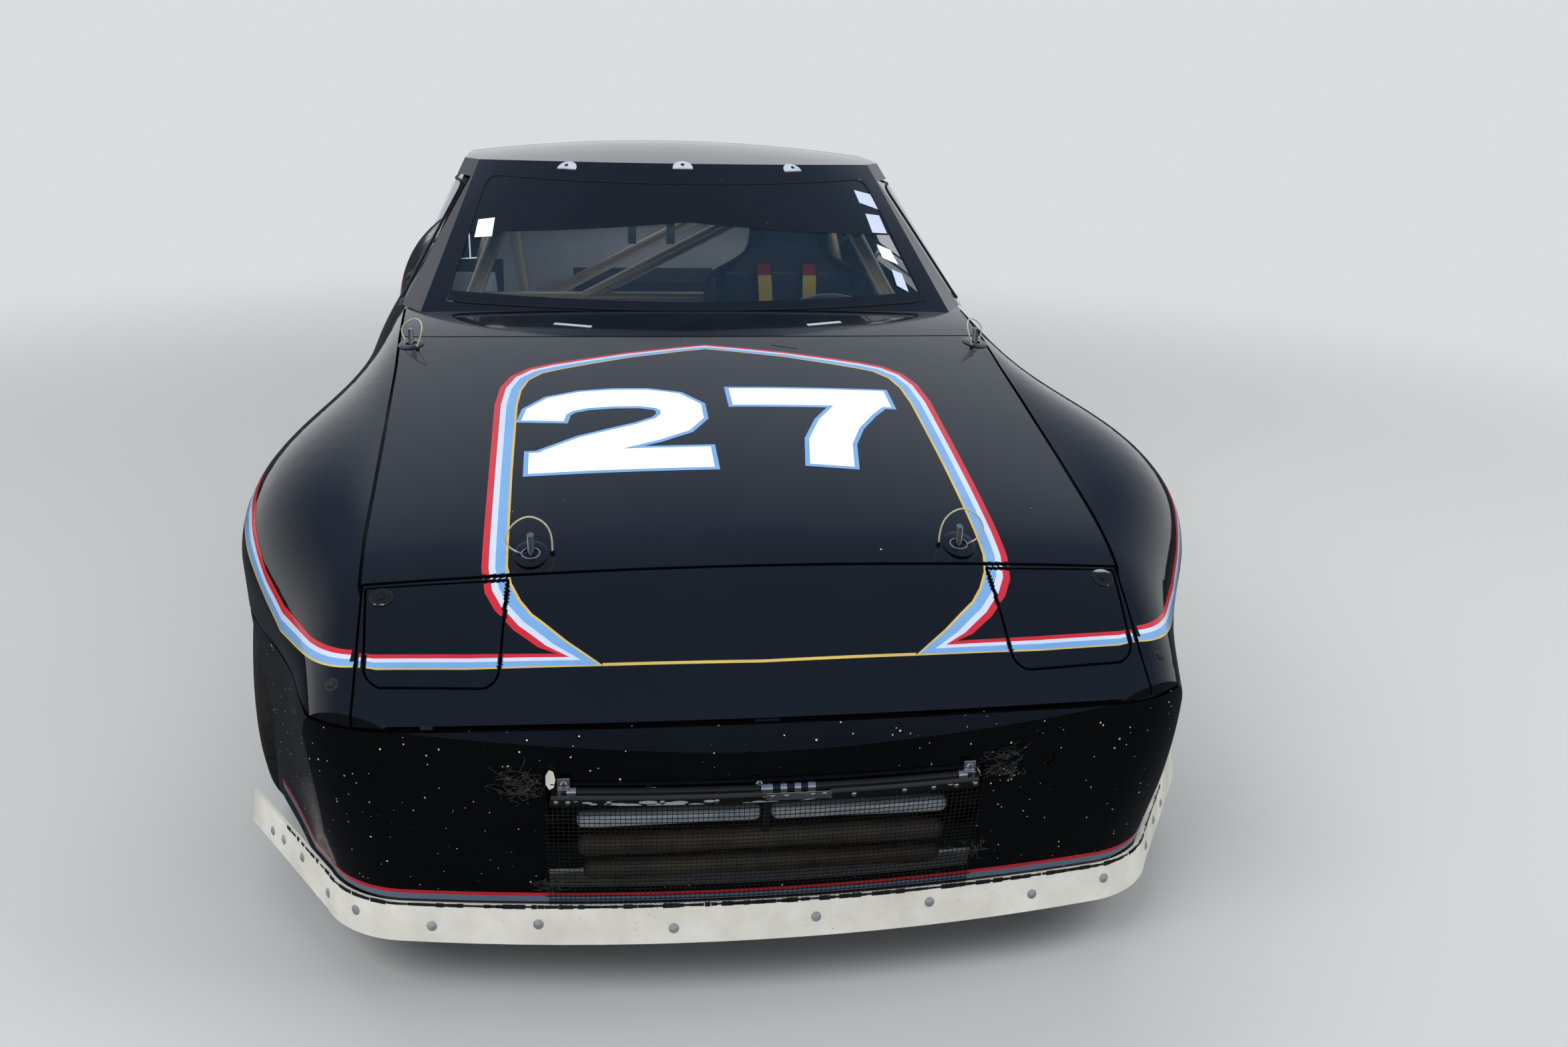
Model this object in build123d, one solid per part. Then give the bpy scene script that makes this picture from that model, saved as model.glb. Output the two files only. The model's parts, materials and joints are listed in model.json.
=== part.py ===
# Two-door closed race car with a long hood, a glass hatch and covered headlamps.
# Millimetres. +Z is up and the ground is z = 0. The nose points to -Y, and +X is the
# car's left, the driver's side. The origin is the bottom centre of the whole car.
from build123d import *
from math import atan2, cos, radians, sin, tan
import os

os.makedirs("parts", exist_ok=True)

# Driving dimensions
length = 4230
front_axle_y = -1265
rear_axle_y = 1135
panel = 6            # wall of fenders, nose and quarters
panel_gap = 6        # gap line between outer panels
seat_gap = 0.3       # between pieces that bear on each other
door_wall = 60       # a door is as thick as the whole door
roof_wall = 28       # roof skin with its pillars
hood_wall = 16
hatch_wall = 20
glass = 5
sill_z = 120         # underside of the body sides
foot_z = 90          # where the side lines are carried down to
floor_z = 128        # underside of the floor
floor_wall = 8
belt_z = 846         # foot of the side windows
nose_gap_z = 503     # gap between nose and apron
apron_bottom_z = 150
front_y = -length / 2
rear_y = length / 2

# Body sections from nose to tail. Columns: y, half width at the sill, half width at the
# widest height, that height, half width and height at the hood or deck edge, centre height
body_sections = [
    (front_y - 10, 590, 650, 400, 480, 424, 434),
    (front_y + 20, 610, 680, 425, 560, 474, 483),
    (front_y + 75, 645, 704, 440, 585, 506, 516),
    (front_y + 185, 700, 730, 485, 615, 588, 602),
    (front_y + 289, 745, 760, 515, 641, 650, 668),
    (front_y + 415, 795, 814, 555, 645, 688, 708),
    (front_y + 565, 856, 880, 580, 648, 716, 740),
    (front_axle_y, 880, 902, 600, 655, 762, 790),
    (-950, 835, 860, 590, 666, 806, 838),
    (-700, 800, 818, 585, 680, 835, 868),
    (-200, 795, 820, 570, 704, 848, 885),
    (500, 800, 828, 570, 704, 850, 885),
    (rear_axle_y, 846, 870, 595, 700, 852, 880),
    (rear_y - 465, 806, 834, 580, 670, 845, 866),
    (rear_y - 95, 735, 762, 560, 620, 820, 835),
    (rear_y + 15, 700, 730, 550, 590, 800, 812),
]

# Plan outlines of nose and tail at several heights. Columns: z, y at the centre, half
# width and y where the corner starts, the same where it ends, the same far back on the side
nose_levels = [
    (60, front_y + 60, 580, front_y + 112, 695, front_y + 212, 850, front_y + 475),
    (190, front_y + 53, 585, front_y + 105, 705, front_y + 208, 862, front_y + 475),
    (430, front_y, 610, front_y + 62, 742, front_y + 178, 910, front_y + 515),
    (520, front_y + 16, 612, front_y + 72, 748, front_y + 190, 920, front_y + 515),
    (1000, front_y + 60, 620, front_y + 110, 760, front_y + 230, 940, front_y + 515),
]
tail_levels = [
    (60, rear_y - 85, 560, rear_y - 112, 745, rear_y - 205, 880, rear_y - 515),
    (190, rear_y - 55, 560, rear_y - 80, 750, rear_y - 175, 890, rear_y - 515),
    (420, rear_y - 3, 590, rear_y - 30, 765, rear_y - 125, 905, rear_y - 515),
    (560, rear_y, 600, rear_y - 27, 770, rear_y - 125, 905, rear_y - 515),
    (900, rear_y - 85, 600, rear_y - 115, 760, rear_y - 215, 880, rear_y - 515),
]
corner_bulge = 0.12  # rise of a corner's arc over its chord

# Greenhouse plan outlines. Columns: z, y of the windshield centre, half width and y at
# its corner, half width and y at the pillar's outer edge, half width at the B pillar,
# half width at the tail
cabin_levels = [
    (800, -750, 668, -625, 735, -480, 722, 650),
    (1200, -190, 510, 45, 548, 118, 535, 470),
]
b_pillar_y = 650
cabin_tail_y = rear_y - 315
# Roof and hatch line. Columns: y, centre height, height at the edge, half width there
roof_sections = [
    (-900, 1120, 1090, 720),
    (-250, 1172, 1138, 640),
    (150, 1190, 1152, 600),
    (520, 1168, 1126, 600),
    (1100, 1034, 992, 620),
    (cabin_tail_y - 200, 906, 866, 640),
    (cabin_tail_y + 60, 842, 806, 650),
]


def block(x0, x1, y0, y1, z0, z1):
    size = Box(x1 - x0, y1 - y0, z1 - z0)
    return Pos((x0 + x1) / 2, (y0 + y1) / 2, (z0 + z1) / 2) * size


def prism(points, z0, z1):
    return extrude(Pos(0, 0, z0) * make_face(Polyline(*points, close=True)), z1 - z0)


def outline(points, grow=0):
    face = make_face(Polyline(*points, close=True))
    return offset(face, amount=grow, kind=Kind.INTERSECTION) if grow else face


def both(shape):
    return [shape, mirror(shape, Plane.YZ)]


def side_prism(points, x0, x1, grow=0):
    """Outline in (y, z), carried along X."""
    place = Plane(origin=(x0, 0, 0), x_dir=(0, 1, 0), z_dir=(1, 0, 0))
    return extrude(place * outline(points, grow), x1 - x0)


def front_prism(points, y0, y1, grow=0):
    """Outline in (x, z), carried along Y."""
    place = Plane(origin=(0, y0, 0), x_dir=(1, 0, 0), z_dir=(0, -1, 0))
    return extrude(place * outline(points, grow), y0 - y1)


def along_x(radius, x0, x1, y, z):
    return Pos((x0 + x1) / 2, y, z) * Rot(0, 90, 0) * Cylinder(radius, x1 - x0)


def rod(a, b, radius):
    a, b = Vector(*a), Vector(*b)
    run = b - a
    return Plane(origin=a, z_dir=run.normalized()) * Cylinder(
        radius, run.length, align=(Align.CENTER, Align.CENTER, Align.MIN))


def pipe(points, radius, bend):
    path = FilletPolyline(*points, radius=bend)
    start = Plane(origin=path @ 0, z_dir=path % 0)
    return sweep(start * Circle(radius), path=path)


def body_face(row, wall=0, bottom=foot_z):
    y, x_sill, x_wide, z_wide, x_edge, z_edge, z_top = row
    x_foot = x_wide - (x_wide - x_sill) * (z_wide - bottom) / (z_wide - sill_z) - wall
    x_wide, x_edge = x_wide - wall, x_edge - wall / 2
    z_wide, z_edge, z_top = z_wide - wall, z_edge - wall, z_top - wall
    dx, dz = x_wide - x_edge, z_edge - z_wide
    r = (dx * dx + dz * dz) / (2 * dx)
    half = atan2(dz, x_edge - (x_wide - r)) / 2
    x_mid, z_mid = x_wide - r + r * cos(half), z_wide + r * sin(half)
    at = lambda x, z: Vector(x, y, z)
    return Face(Wire([
        Line(at(-x_foot, bottom), at(x_foot, bottom)).edge(),
        Line(at(x_foot, bottom), at(x_wide, z_wide)).edge(),
        ThreePointArc(at(x_wide, z_wide), at(x_mid, z_mid), at(x_edge, z_edge)).edge(),
        ThreePointArc(at(x_edge, z_edge), at(0, z_top), at(-x_edge, z_edge)).edge(),
        ThreePointArc(at(-x_edge, z_edge), at(-x_mid, z_mid), at(-x_wide, z_wide)).edge(),
        Line(at(-x_wide, z_wide), at(-x_foot, bottom)).edge(),
    ]))


def end_face(row, wall=0):
    """Plan outline of the nose or the tail, open towards the cabin."""
    z, y_mid, x_corner, y_corner, x_turn, y_turn, x_side, y_side = row
    way = 1 if y_mid > 0 else -1
    y_mid, y_corner = y_mid - way * wall, y_corner - way * wall
    x_turn, y_turn, x_side = x_turn - 0.7 * wall, y_turn - way * 0.7 * wall, x_side - wall
    at = lambda x, y: Vector(x, y, z)
    x_bend = (x_corner + x_turn) / 2 + corner_bulge * abs(y_turn - y_corner)
    y_bend = (y_corner + y_turn) / 2 + way * corner_bulge * (x_turn - x_corner)
    y_back = -way * 2400
    return Face(Wire([
        ThreePointArc(at(-x_corner, y_corner), at(0, y_mid), at(x_corner, y_corner)).edge(),
        ThreePointArc(at(x_corner, y_corner), at(x_bend, y_bend), at(x_turn, y_turn)).edge(),
        Line(at(x_turn, y_turn), at(x_side, y_side)).edge(),
        Line(at(x_side, y_side), at(x_side + 40, y_back)).edge(),
        Line(at(x_side + 40, y_back), at(-x_side - 40, y_back)).edge(),
        Line(at(-x_side - 40, y_back), at(-x_side, y_side)).edge(),
        Line(at(-x_side, y_side), at(-x_turn, y_turn)).edge(),
        ThreePointArc(at(-x_turn, y_turn), at(-x_bend, y_bend), at(-x_corner, y_corner)).edge(),
    ]))


def hull(wall=0, bottom=foot_z):
    body = loft([body_face(row, wall, bottom) for row in body_sections])
    nose = loft([end_face(row, wall) for row in nose_levels])
    tail = loft([end_face(row, wall) for row in tail_levels])
    return body & nose & tail


def cabin_face(row, wall=0):
    z, y_glass, x_corner, y_corner, x_pillar, y_pillar, x_b, x_tail = row
    x_corner, x_pillar, x_b, x_tail = x_corner - wall, x_pillar - wall, x_b - wall, x_tail - wall
    y_glass, y_corner, y_pillar = y_glass + wall, y_corner + wall, y_pillar + wall / 2
    at = lambda x, y: Vector(x, y, z)
    return Face(Wire([
        ThreePointArc(at(-x_corner, y_corner), at(0, y_glass), at(x_corner, y_corner)).edge(),
        Line(at(x_corner, y_corner), at(x_pillar, y_pillar)).edge(),
        Line(at(x_pillar, y_pillar), at(x_b, b_pillar_y)).edge(),
        Line(at(x_b, b_pillar_y), at(x_tail, cabin_tail_y)).edge(),
        Line(at(x_tail, cabin_tail_y), at(-x_tail, cabin_tail_y)).edge(),
        Line(at(-x_tail, cabin_tail_y), at(-x_b, b_pillar_y)).edge(),
        Line(at(-x_b, b_pillar_y), at(-x_pillar, y_pillar)).edge(),
        Line(at(-x_pillar, y_pillar), at(-x_corner, y_corner)).edge(),
    ]))


def roof_face(row, wall=0):
    y, z_top, z_edge, x_edge = row
    at = lambda x, z: Vector(x, y, z)
    z_top, z_edge = z_top - wall, z_edge - wall
    return Face(Wire([
        ThreePointArc(at(x_edge, z_edge), at(0, z_top), at(-x_edge, z_edge)).edge(),
        Line(at(-x_edge, z_edge), at(-x_edge - 200, z_edge - 60)).edge(),
        Line(at(-x_edge - 200, z_edge - 60), at(-x_edge - 200, 600)).edge(),
        Line(at(-x_edge - 200, 600), at(x_edge + 200, 600)).edge(),
        Line(at(x_edge + 200, 600), at(x_edge + 200, z_edge - 60)).edge(),
        Line(at(x_edge + 200, z_edge - 60), at(x_edge, z_edge)).edge(),
    ]))


def cabin(wall=0):
    return loft([cabin_face(row, wall) for row in cabin_levels], ruled=True) & loft(
        [roof_face(row, wall) for row in roof_sections])


def edge_prism(y0, y1, grow, z0, z1):
    """Everything between the two hood or deck edges, widened by grow on each side."""
    rows = [row for row in body_sections if y0 < row[0] < y1]
    def x_at(y):
        for low, high in zip(body_sections, body_sections[1:]):
            if low[0] <= y <= high[0]:
                share = (y - low[0]) / (high[0] - low[0])
                return low[4] + share * (high[4] - low[4])
    right = [(x_at(y0) + grow, y0)] + [(r[4] + grow, r[0]) for r in rows] + [(x_at(y1) + grow, y1)]
    left = [(-x, y) for x, y in reversed(right)]
    return prism(right + left, z0, z1)


outer = hull()
skin = outer - hull(panel, foot_z - 60)
under_skin = hull(panel + seat_gap, foot_z - 60)
under_hood = hull(hood_wall + seat_gap, foot_z - 60)
arch_radius_front, arch_radius_rear = 335, 345
arch_z = 300
arches = along_x(arch_radius_front, -1200, 1200, front_axle_y, arch_z) + along_x(
    arch_radius_rear, -1200, 1200, rear_axle_y, arch_z)
parts = {}
up = (Align.CENTER, Align.CENTER, Align.MIN)
down = (Align.CENTER, Align.CENTER, Align.MAX)
pivot, pivot_hole = 12, 12.05
raised_y, raised_z = 640, 345

# Hood with the holes for its four pins
hood_front_y, hood_rear_y, hood_rear_bow = front_y + 289, -741, 110
hood_shell = outer - hull(hood_wall, foot_z - 60)
hood_zone = edge_prism(hood_front_y + panel_gap / 2, hood_rear_y, -panel_gap / 2, 500, 1000)


def behind_hood(back=0):
    """Everything behind the hood's bowed rear edge."""
    bow_y = hood_rear_y - hood_rear_bow + back
    edge = ThreePointArc((-760, -720 + back), (0, bow_y), (760, -720 + back)).edge()
    rest = Polyline((760, -720 + back), (760, 0), (-760, 0), (-760, -720 + back))
    return extrude(Pos(0, 0, 400) * make_face(edge + rest), 700)


# Columns: x, y, height where the pin's foot stands
pin_places = [(367, hood_front_y + 46, 600), (646, -808, 760)]
pin_radius, pin_hole, pin_rise, pin_collar = 6, 7, 34, 13
pin_holes = [Pos(side * x, y, 700) * Cylinder(pin_hole, 600) for x, y, z in pin_places for side in (-1, 1)]
parts["hood"] = (hood_shell & hood_zone) - behind_hood() - pin_holes
over_skin = hull(-pin_rise)
pins = []
for x, y, z in pin_places:
    stud = Pos(x, y, z) * Cylinder(pin_radius, 300, align=up) & over_skin
    collar = Pos(x, y, z) * Cylinder(pin_collar, 300, align=up) & under_hood
    pins += both(stud + collar)
parts["hood_pins"] = Compound(children=pins)


def skin_plane(x, y):
    """Plane on the bodywork above (x, y), its Z along the surface."""
    heights = [(Pos(x + dx, y + dy, 400) * Cylinder(0.5, 1200) & outer).bounding_box().max.Z
               for dx, dy in ((0, 0), (20, 0), (0, 20))]
    run_x, run_y = Vector(20, 0, heights[1] - heights[0]), Vector(0, 20, heights[2] - heights[0])
    return Plane(origin=(x, y, heights[0]), x_dir=run_x, z_dir=run_x.cross(run_y))


# A ring clip lies round each pin, and a wire lanyard ties it to an eye screwed into the
# hood. Route points are (x, y, z) from the pin, in its plane on the hood
ring_radius, ring_wire, ferrule_radius, ferrule_length = 15, 1.3, 2, 8.5
eye_radius, eye_height, lanyard_radius = 4, 5, 1.5
lanyard_routes = {
    "front": [(-36, 0, eye_height + 0.5), (-38, 3, 30), (-28, 9, 57), (-2, 13, 71), (24, 10, 60), (42, 5, 34),
              (36, 2, 14), (22.5, 0, 6.5)],
    "rear": [(-16, -34, eye_height + 0.5), (-26, -34, 26), (-33, -22, 46), (-26, 2, 56), (-6, 24, 52),
             (20, 36, 32), (20.4, 27.2, 13), (13.5, 18, 6.5)],
}


def cord_radii(route):
    """An arc for each corner, as large as its two runs allow."""
    points = [Vector(*point) for point in route]
    radii = []
    for before, here, after in zip(points, points[1:], points[2:]):
        turn = (here - before).get_angle(after - here)
        run = min((here - before).length, (after - here).length)
        radii.append(0.45 * run / tan(radians(turn / 2)))
    return radii


hood_eyes, rings = [], []
for (x, y, z), (place, route) in zip(pin_places, lanyard_routes.items()):
    spot = skin_plane(x, y)
    radii = cord_radii(route)
    path = FilletPolyline(*[Vector(*point) for point in route], radius=radii)
    lanyard = spot * sweep(Plane(origin=path @ 0, z_dir=path % 0) * Circle(lanyard_radius), path=path)
    end_way = (Vector(*route[-1]) - Vector(*route[-2])).normalized()
    end_face_place = Plane(origin=Vector(*route[-1]) + end_way * seat_gap, z_dir=end_way)
    ferrule = spot * (end_face_place * Cylinder(ferrule_radius, ferrule_length, align=up))
    ring = spot * Pos(0, 0, ring_wire + 2 * seat_gap) * Torus(ring_radius, ring_wire) + ferrule
    eye = spot * Pos(route[0][0], route[0][1], -1) * Cylinder(eye_radius, eye_height + 1, align=up)
    hood_eyes += both(eye)
    rings += both(ring)
    parts["lanyard_" + place + "_l"] = lanyard
    parts["lanyard_" + place + "_r"] = mirror(lanyard, Plane.YZ)
    print(place, "lanyard radii", [round(r) for r in radii], "length", round(path.length))
parts["hood"] = parts["hood"] + hood_eyes
parts["pin_clips"] = Compound(children=rings)

# Cowl between hood and windshield
cabin_room = cabin(-seat_gap)
door_front_y, door_rear_y = -480, 650
cowl_zone = edge_prism(-900, door_front_y, -panel_gap / 2, 700, 1000) & behind_hood(panel_gap)
parts["cowl"] = (skin & cowl_zone) - cabin_room

# Nose, headlamp lids and fenders
lid_x_in, lid_x_out = 405, 628
lid_front_y, lid_rear_y = hood_front_y - 166, hood_front_y - 12
lid_gap, lid_round = 4, 26


def lid_plan(grow):
    face = make_face(Polyline(
        (lid_x_in + 14, lid_front_y - 6), (lid_x_out - 8, lid_front_y + 7), (lid_x_out, lid_rear_y + 2),
        (lid_x_in, lid_rear_y), close=True))
    face = fillet(face.vertices().sort_by(Axis.Y)[:2], lid_round)
    return extrude(Pos(0, 0, 400) * offset(face, amount=grow), 400) if grow else extrude(
        Pos(0, 0, 400) * face, 400)


parts["headlamp_lids"] = Compound(children=both(hood_shell & lid_plan(0)))
nose_zone = block(-lid_x_out - 6, lid_x_out + 6, front_y - 20, hood_front_y - panel_gap / 2, nose_gap_z, 900)
parts["nose_panel"] = (skin & nose_zone) - both(lid_plan(lid_gap))

hood_hole = edge_prism(front_y + 30, 2000, panel_gap / 2, 400, 1400)
fender_zone = (block(lid_x_out + 10, 1000, front_y, front_axle_y, nose_gap_z, 1000)
               + block(500, 1000, front_axle_y, door_front_y - panel_gap, sill_z, 1000))
fender = (skin & fender_zone) - hood_hole - arches
fender = fender - block(0, 1000, front_y, hood_front_y, 0, nose_gap_z)
parts["front_fender_l"] = fender
parts["front_fender_r"] = mirror(fender, Plane.YZ)

# Apron with its opening and the small round hole beside it
apron_zone = block(-1000, 1000, front_y - 10, front_axle_y, apron_bottom_z, nose_gap_z - panel_gap)
intake_x, intake_z0, intake_z1 = 345, 205, 428
hole_x, hole_z, hole_radius = 456, 421, 12
apron = (skin & apron_zone) - arches - block(
    -intake_x, intake_x, front_y - 50, front_y + 150, intake_z0, intake_z1)
apron = apron - Pos(hole_x, front_y + 50, hole_z) * Rot(90, 0, 0) * Cylinder(hole_radius, 200)
parts["front_apron"] = apron

# Torn plastic lip around the apron's foot, flared at its ends
lip_wall, lip_top_z, lip_bottom_z = 7, 172, 108
lip_levels = [
    (lip_bottom_z, front_y + 36, 590, front_y + 92, 716, front_y + 196, 896, front_y + 505),
    (lip_top_z, front_y + 50, 586, front_y + 102, 712, front_y + 204, 888, front_y + 505),
]
lip = loft([end_face(row) for row in lip_levels], ruled=True) - loft(
    [end_face(row, lip_wall) for row in lip_levels], ruled=True)
lip = lip & block(-1000, 1000, front_y, front_y + 500, lip_bottom_z, lip_top_z)
parts["front_lip"] = lip - hull(-seat_gap, foot_z - 60)

# Wire screen in the apron's opening, with the flap bar over it
flap_z = 388
screen_room = block(-intake_x + seat_gap, intake_x - seat_gap, front_y - 50, front_y + 150,
                    intake_z0 + seat_gap, intake_z1 - seat_gap)
screen = (outer - hull(3, foot_z - 60)) & screen_room & block(-1000, 1000, -3000, 0, 0, flap_z)
flap = (outer - hull(9, foot_z - 60)) & screen_room & block(-1000, 1000, -3000, 0, flap_z, 500)
parts["grille_screen"] = screen + flap
radiator_x, radiator_z, radiator_wall = 300, 188, 60
radiator_y = front_y + 235
parts["radiator"] = block(-radiator_x, radiator_x, radiator_y, radiator_y + radiator_wall,
                          radiator_z + seat_gap, 478)

# Front structure: firewall, bay sides with the strut towers, rails under the gap lines,
# radiator and bumper supports, and the hinge posts
bay_x, bay_wall = 480, 6
floor_top = floor_z + floor_wall
wall_y = -772
rail_z, rail_reach = 560, 14
tunnel_x, tunnel_z, tunnel_wall = 140, 322, 8
rail_plan = (edge_prism(hood_front_y + 10, wall_y, rail_reach, rail_z, 1000)
             - edge_prism(hood_front_y + 10, wall_y, -rail_reach, rail_z, 1000))
fender_plan = (edge_prism(hood_front_y + 10, wall_y, rail_reach, rail_z, 1000)
               - edge_prism(hood_front_y + 10, wall_y, panel_gap / 2 + 5, rail_z, 1000))
rail_room = along_x(arch_radius_front + 8, -1000, 1000, front_axle_y, arch_z)
frame = (rail_plan & under_hood) + (fender_plan & under_skin) - rail_room
frame += block(-640, 640, wall_y, wall_y + floor_wall, floor_top, 900) & under_hood
frame += block(-540, 540, wall_y, wall_y + floor_wall, 700, 900) & under_skin
frame += block(-640, 640, hood_front_y + 26, hood_front_y + 56, rail_z, 600) & under_hood
frame += block(-bay_x, bay_x, radiator_y, radiator_y + radiator_wall, floor_top, radiator_z)
frame += block(-bay_x, bay_x, radiator_y - 5, radiator_y + 15, 484, 506)
frame += block(-20, 20, front_y + 30, hood_front_y - 10, 484, 700) & under_skin
frame += block(-560, 560, front_y, front_y + 44, 434, 490) & under_skin
tower_z0, tower_z1 = 560, 722
king_low, king_high = Vector(685, front_axle_y, 150), Vector(575, front_axle_y, 740)
king = Plane(origin=king_low, x_dir=(0, 1, 0), z_dir=(king_high - king_low).normalized())
tower = block(bay_x - bay_wall, 650, front_axle_y - 60, front_axle_y + 60, tower_z0, tower_z1) - king * Pos(
    0, 0, 420) * Cylinder(56, 150, align=up) - king * Cylinder(pivot_hole, 700, align=up)
arm_hole = block(bay_x - 20, bay_x + 20, front_axle_y - 50, front_axle_y + 50, 120, 170)
side_frame = block(bay_x - bay_wall, bay_x, radiator_y, wall_y, floor_top, 600) & under_hood
side_frame += tower - rail_room
side_frame += block(440, 516, front_y + 30, radiator_y + 15, 440, 490) & under_skin
side_frame += block(500, 516, lid_front_y + 10, lid_rear_y - 10, 440, 800) & under_hood
side_frame += block(634, 640, wall_y, door_front_y - 10, floor_top, 790)
side_frame += block(634, 860, door_front_y - 20, door_front_y - 10, floor_top, 834) & under_skin
for z in (280, 540):
    side_frame += block(764, 790, door_front_y - 20, door_front_y - seat_gap, z, z + 40)
side_frame += block(630, 676, -830, -790, 740, 760)
side_frame = side_frame - arm_hole
tunnel_room = block(-tunnel_x + tunnel_wall, tunnel_x - tunnel_wall, wall_y - 1, raised_y + 9, 0, tunnel_z)
parts["front_structure"] = (frame + both(side_frame)) - tunnel_room

# Floor with the tunnel, out to the sills
floor = block(-700, 700, -930, raised_y, floor_z, floor_top)
floor += block(-860, 860, door_front_y + 10, raised_y, floor_z, floor_top) & under_skin
floor += block(-bay_x, bay_x, radiator_y, -930, floor_z, floor_top)
tunnel = block(-tunnel_x, tunnel_x, wall_y + floor_wall, raised_y, floor_z, tunnel_z + tunnel_wall)
parts["floor_pan"] = (floor + tunnel) - tunnel_room
sill = (skin & block(0, 1000, door_front_y, door_rear_y, sill_z, 186))
parts["side_sills"] = Compound(children=both(sill))

# Rear structure: raised floor with its step and wheel tubs, rear wall and tail rails
tub_radius, tub_x, tub_wall = 360, 560, 6
rear_wall_y = rear_y - 155
wheel_room = along_x(tub_radius, tub_x, 1000, rear_axle_y, arch_z)
raised = block(-700, 700, raised_y, raised_y + floor_wall, floor_z, raised_z + floor_wall)
raised += block(-700, 700, raised_y, rear_wall_y, raised_z, raised_z + floor_wall)
raised += block(-900, 900, door_rear_y + 16, rear_wall_y, raised_z, raised_z + floor_wall) & under_skin
raised += block(-640, 640, rear_wall_y, rear_wall_y + floor_wall, raised_z, 900) & under_skin
tub = (wheel_room - along_x(tub_radius - tub_wall, tub_x + tub_wall, 1010, rear_axle_y, arch_z)) & block(
    0, 1000, 700, 1600, raised_z, 900) & under_skin
for x0, x1, z0, z1 in ((430, 490, 440, 490), (200, 260, 590, 625)):
    raised += both(block(x0, x1, rear_wall_y, rear_y, z0, z1) & under_skin)
parts["rear_structure"] = (raised - wheel_room - mirror(wheel_room, Plane.YZ) + both(tub)) - tunnel_room

# Rear quarters, tail and bumper
bumper_top_z, bumper_front_y = 565, rear_y - 615
deck_y, tail_face_y = cabin_tail_y + 12, rear_y - 130
quarter_zone = block(400, 1000, door_rear_y + panel_gap, rear_y + 50, sill_z, 1000)
tail_box = block(-700, 700, tail_face_y, rear_y + 50, bumper_top_z + panel_gap, 1000)
deck_zone = edge_prism(deck_y, rear_y, -panel_gap / 2, 600, 1000)
deck_room = edge_prism(deck_y, rear_y, panel_gap / 2, 600, 1000)
foot_row, top_row = cabin_levels
foot_share = (belt_z - foot_row[0]) / (top_row[0] - foot_row[0])
foot_plan = [low + foot_share * (high - low) for low, high in zip(foot_row, top_row)]
cabin_foot = extrude(Pos(0, 0, 400 - belt_z) * cabin_face(foot_plan, 24), 900)
quarter = (skin & quarter_zone) - arches - tail_box - deck_room - cabin_room - cabin_foot
quarter = quarter - block(0, 1000, bumper_front_y, rear_y + 50, 0, bumper_top_z + panel_gap)
parts["rear_quarter_l"] = quarter
parts["rear_quarter_r"] = mirror(quarter, Plane.YZ)
pipe_x, pipe_z, pipe_radius = -330, 232, 30
bumper_zone = block(-1000, 1000, bumper_front_y + panel_gap, rear_y + 50, 200, bumper_top_z)
parts["rear_bumper"] = (skin & bumper_zone) - arches - block(
    pipe_x - 45, pipe_x + 45, rear_y - 100, rear_y + 50, 190, pipe_z + 45)
lamp_z0, lamp_z1, lamp_x0, lamp_x1 = 640, 770, 330, 640
lamp_room = block(lamp_x0, lamp_x1, rear_y - 215, rear_y + 50, lamp_z0, lamp_z1)
tail = skin & tail_box & block(-694, 694, rear_y - 215, rear_y + 50, 0, 1000)
parts["tail_panel"] = (tail + (skin & deck_zone)) - both(lamp_room)
lamp = hood_shell & block(lamp_x0 + seat_gap, lamp_x1 - seat_gap, rear_y - 215, rear_y + 50,
                          lamp_z0 + seat_gap, lamp_z1 - seat_gap)
parts["tail_lamps"] = Compound(children=both(lamp))

# Cabin top with pillars, and its glass
cabin_outer = cabin()
cabin_shell = cabin_outer - cabin(roof_wall)
glass_shell = cabin_outer - cabin(glass)
hatch_shell = cabin_outer - cabin(hatch_wall)
shield_outline = [(-590, 872), (590, 872), (500, 1128), (-500, 1128)]
door_room = [(-430, belt_z - 60), (-430, belt_z + 4), (-78, 1120), (550, 1108), (606, belt_z + 4),
             (606, belt_z - 60)]
quarter_window = [(640, 880), (618, 1085), (930, 1000), (1180, 905), (1150, 880)]
door_hole = side_prism(door_room, 350, 1000)
quarter_hole = side_prism(quarter_window, 300, 1000)
hatch_y0, hatch_y1 = 560, cabin_tail_y - 4
hatch_plan = [(500, hatch_y0), (-500, hatch_y0), (-560, hatch_y1), (560, hatch_y1)]
hatch_glass_plan = [(450, hatch_y0 + 60), (-450, hatch_y0 + 60), (-505, hatch_y1 - 96), (505, hatch_y1 - 96)]
hatch_gap_plan = [(506, hatch_y0 - 6), (-506, hatch_y0 - 6), (-566, hatch_y1 + 44), (566, hatch_y1 + 44)]
top_zone = block(-1000, 1000, -900, cabin_tail_y + 1, belt_z, 1300) + block(
    -1000, 1000, 1200, cabin_tail_y + 1, foot_row[0], 1300)
top = (cabin_shell & top_zone) - front_prism(shield_outline, -900, 120)
top = top - both(door_hole) - both(quarter_hole) - prism(hatch_gap_plan, 700, 1400)
tongue = block(280, 330, hatch_y0 - 40, hatch_y0 + 34, 1050, 1300)
tongue = (cabin(hatch_wall + seat_gap) - cabin(hatch_wall + 14)) & tongue
parts["roof_and_pillars"] = top + both(tongue)
parts["windshield"] = glass_shell & front_prism(shield_outline, -900, 119, -seat_gap)
quarter_pane = glass_shell & side_prism(quarter_window, 300, 1000, -seat_gap)
parts["quarter_windows"] = Compound(children=both(quarter_pane))
spoiler = side_prism([(hatch_y1 - 92, 860), (hatch_y1 - 2, 836), (hatch_y1 + 14, 916), (hatch_y1 + 2, 921),
                      (hatch_y1 - 50, 893), (hatch_y1 - 92, 888)], -520, 520) - cabin(hatch_wall - 1)
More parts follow.
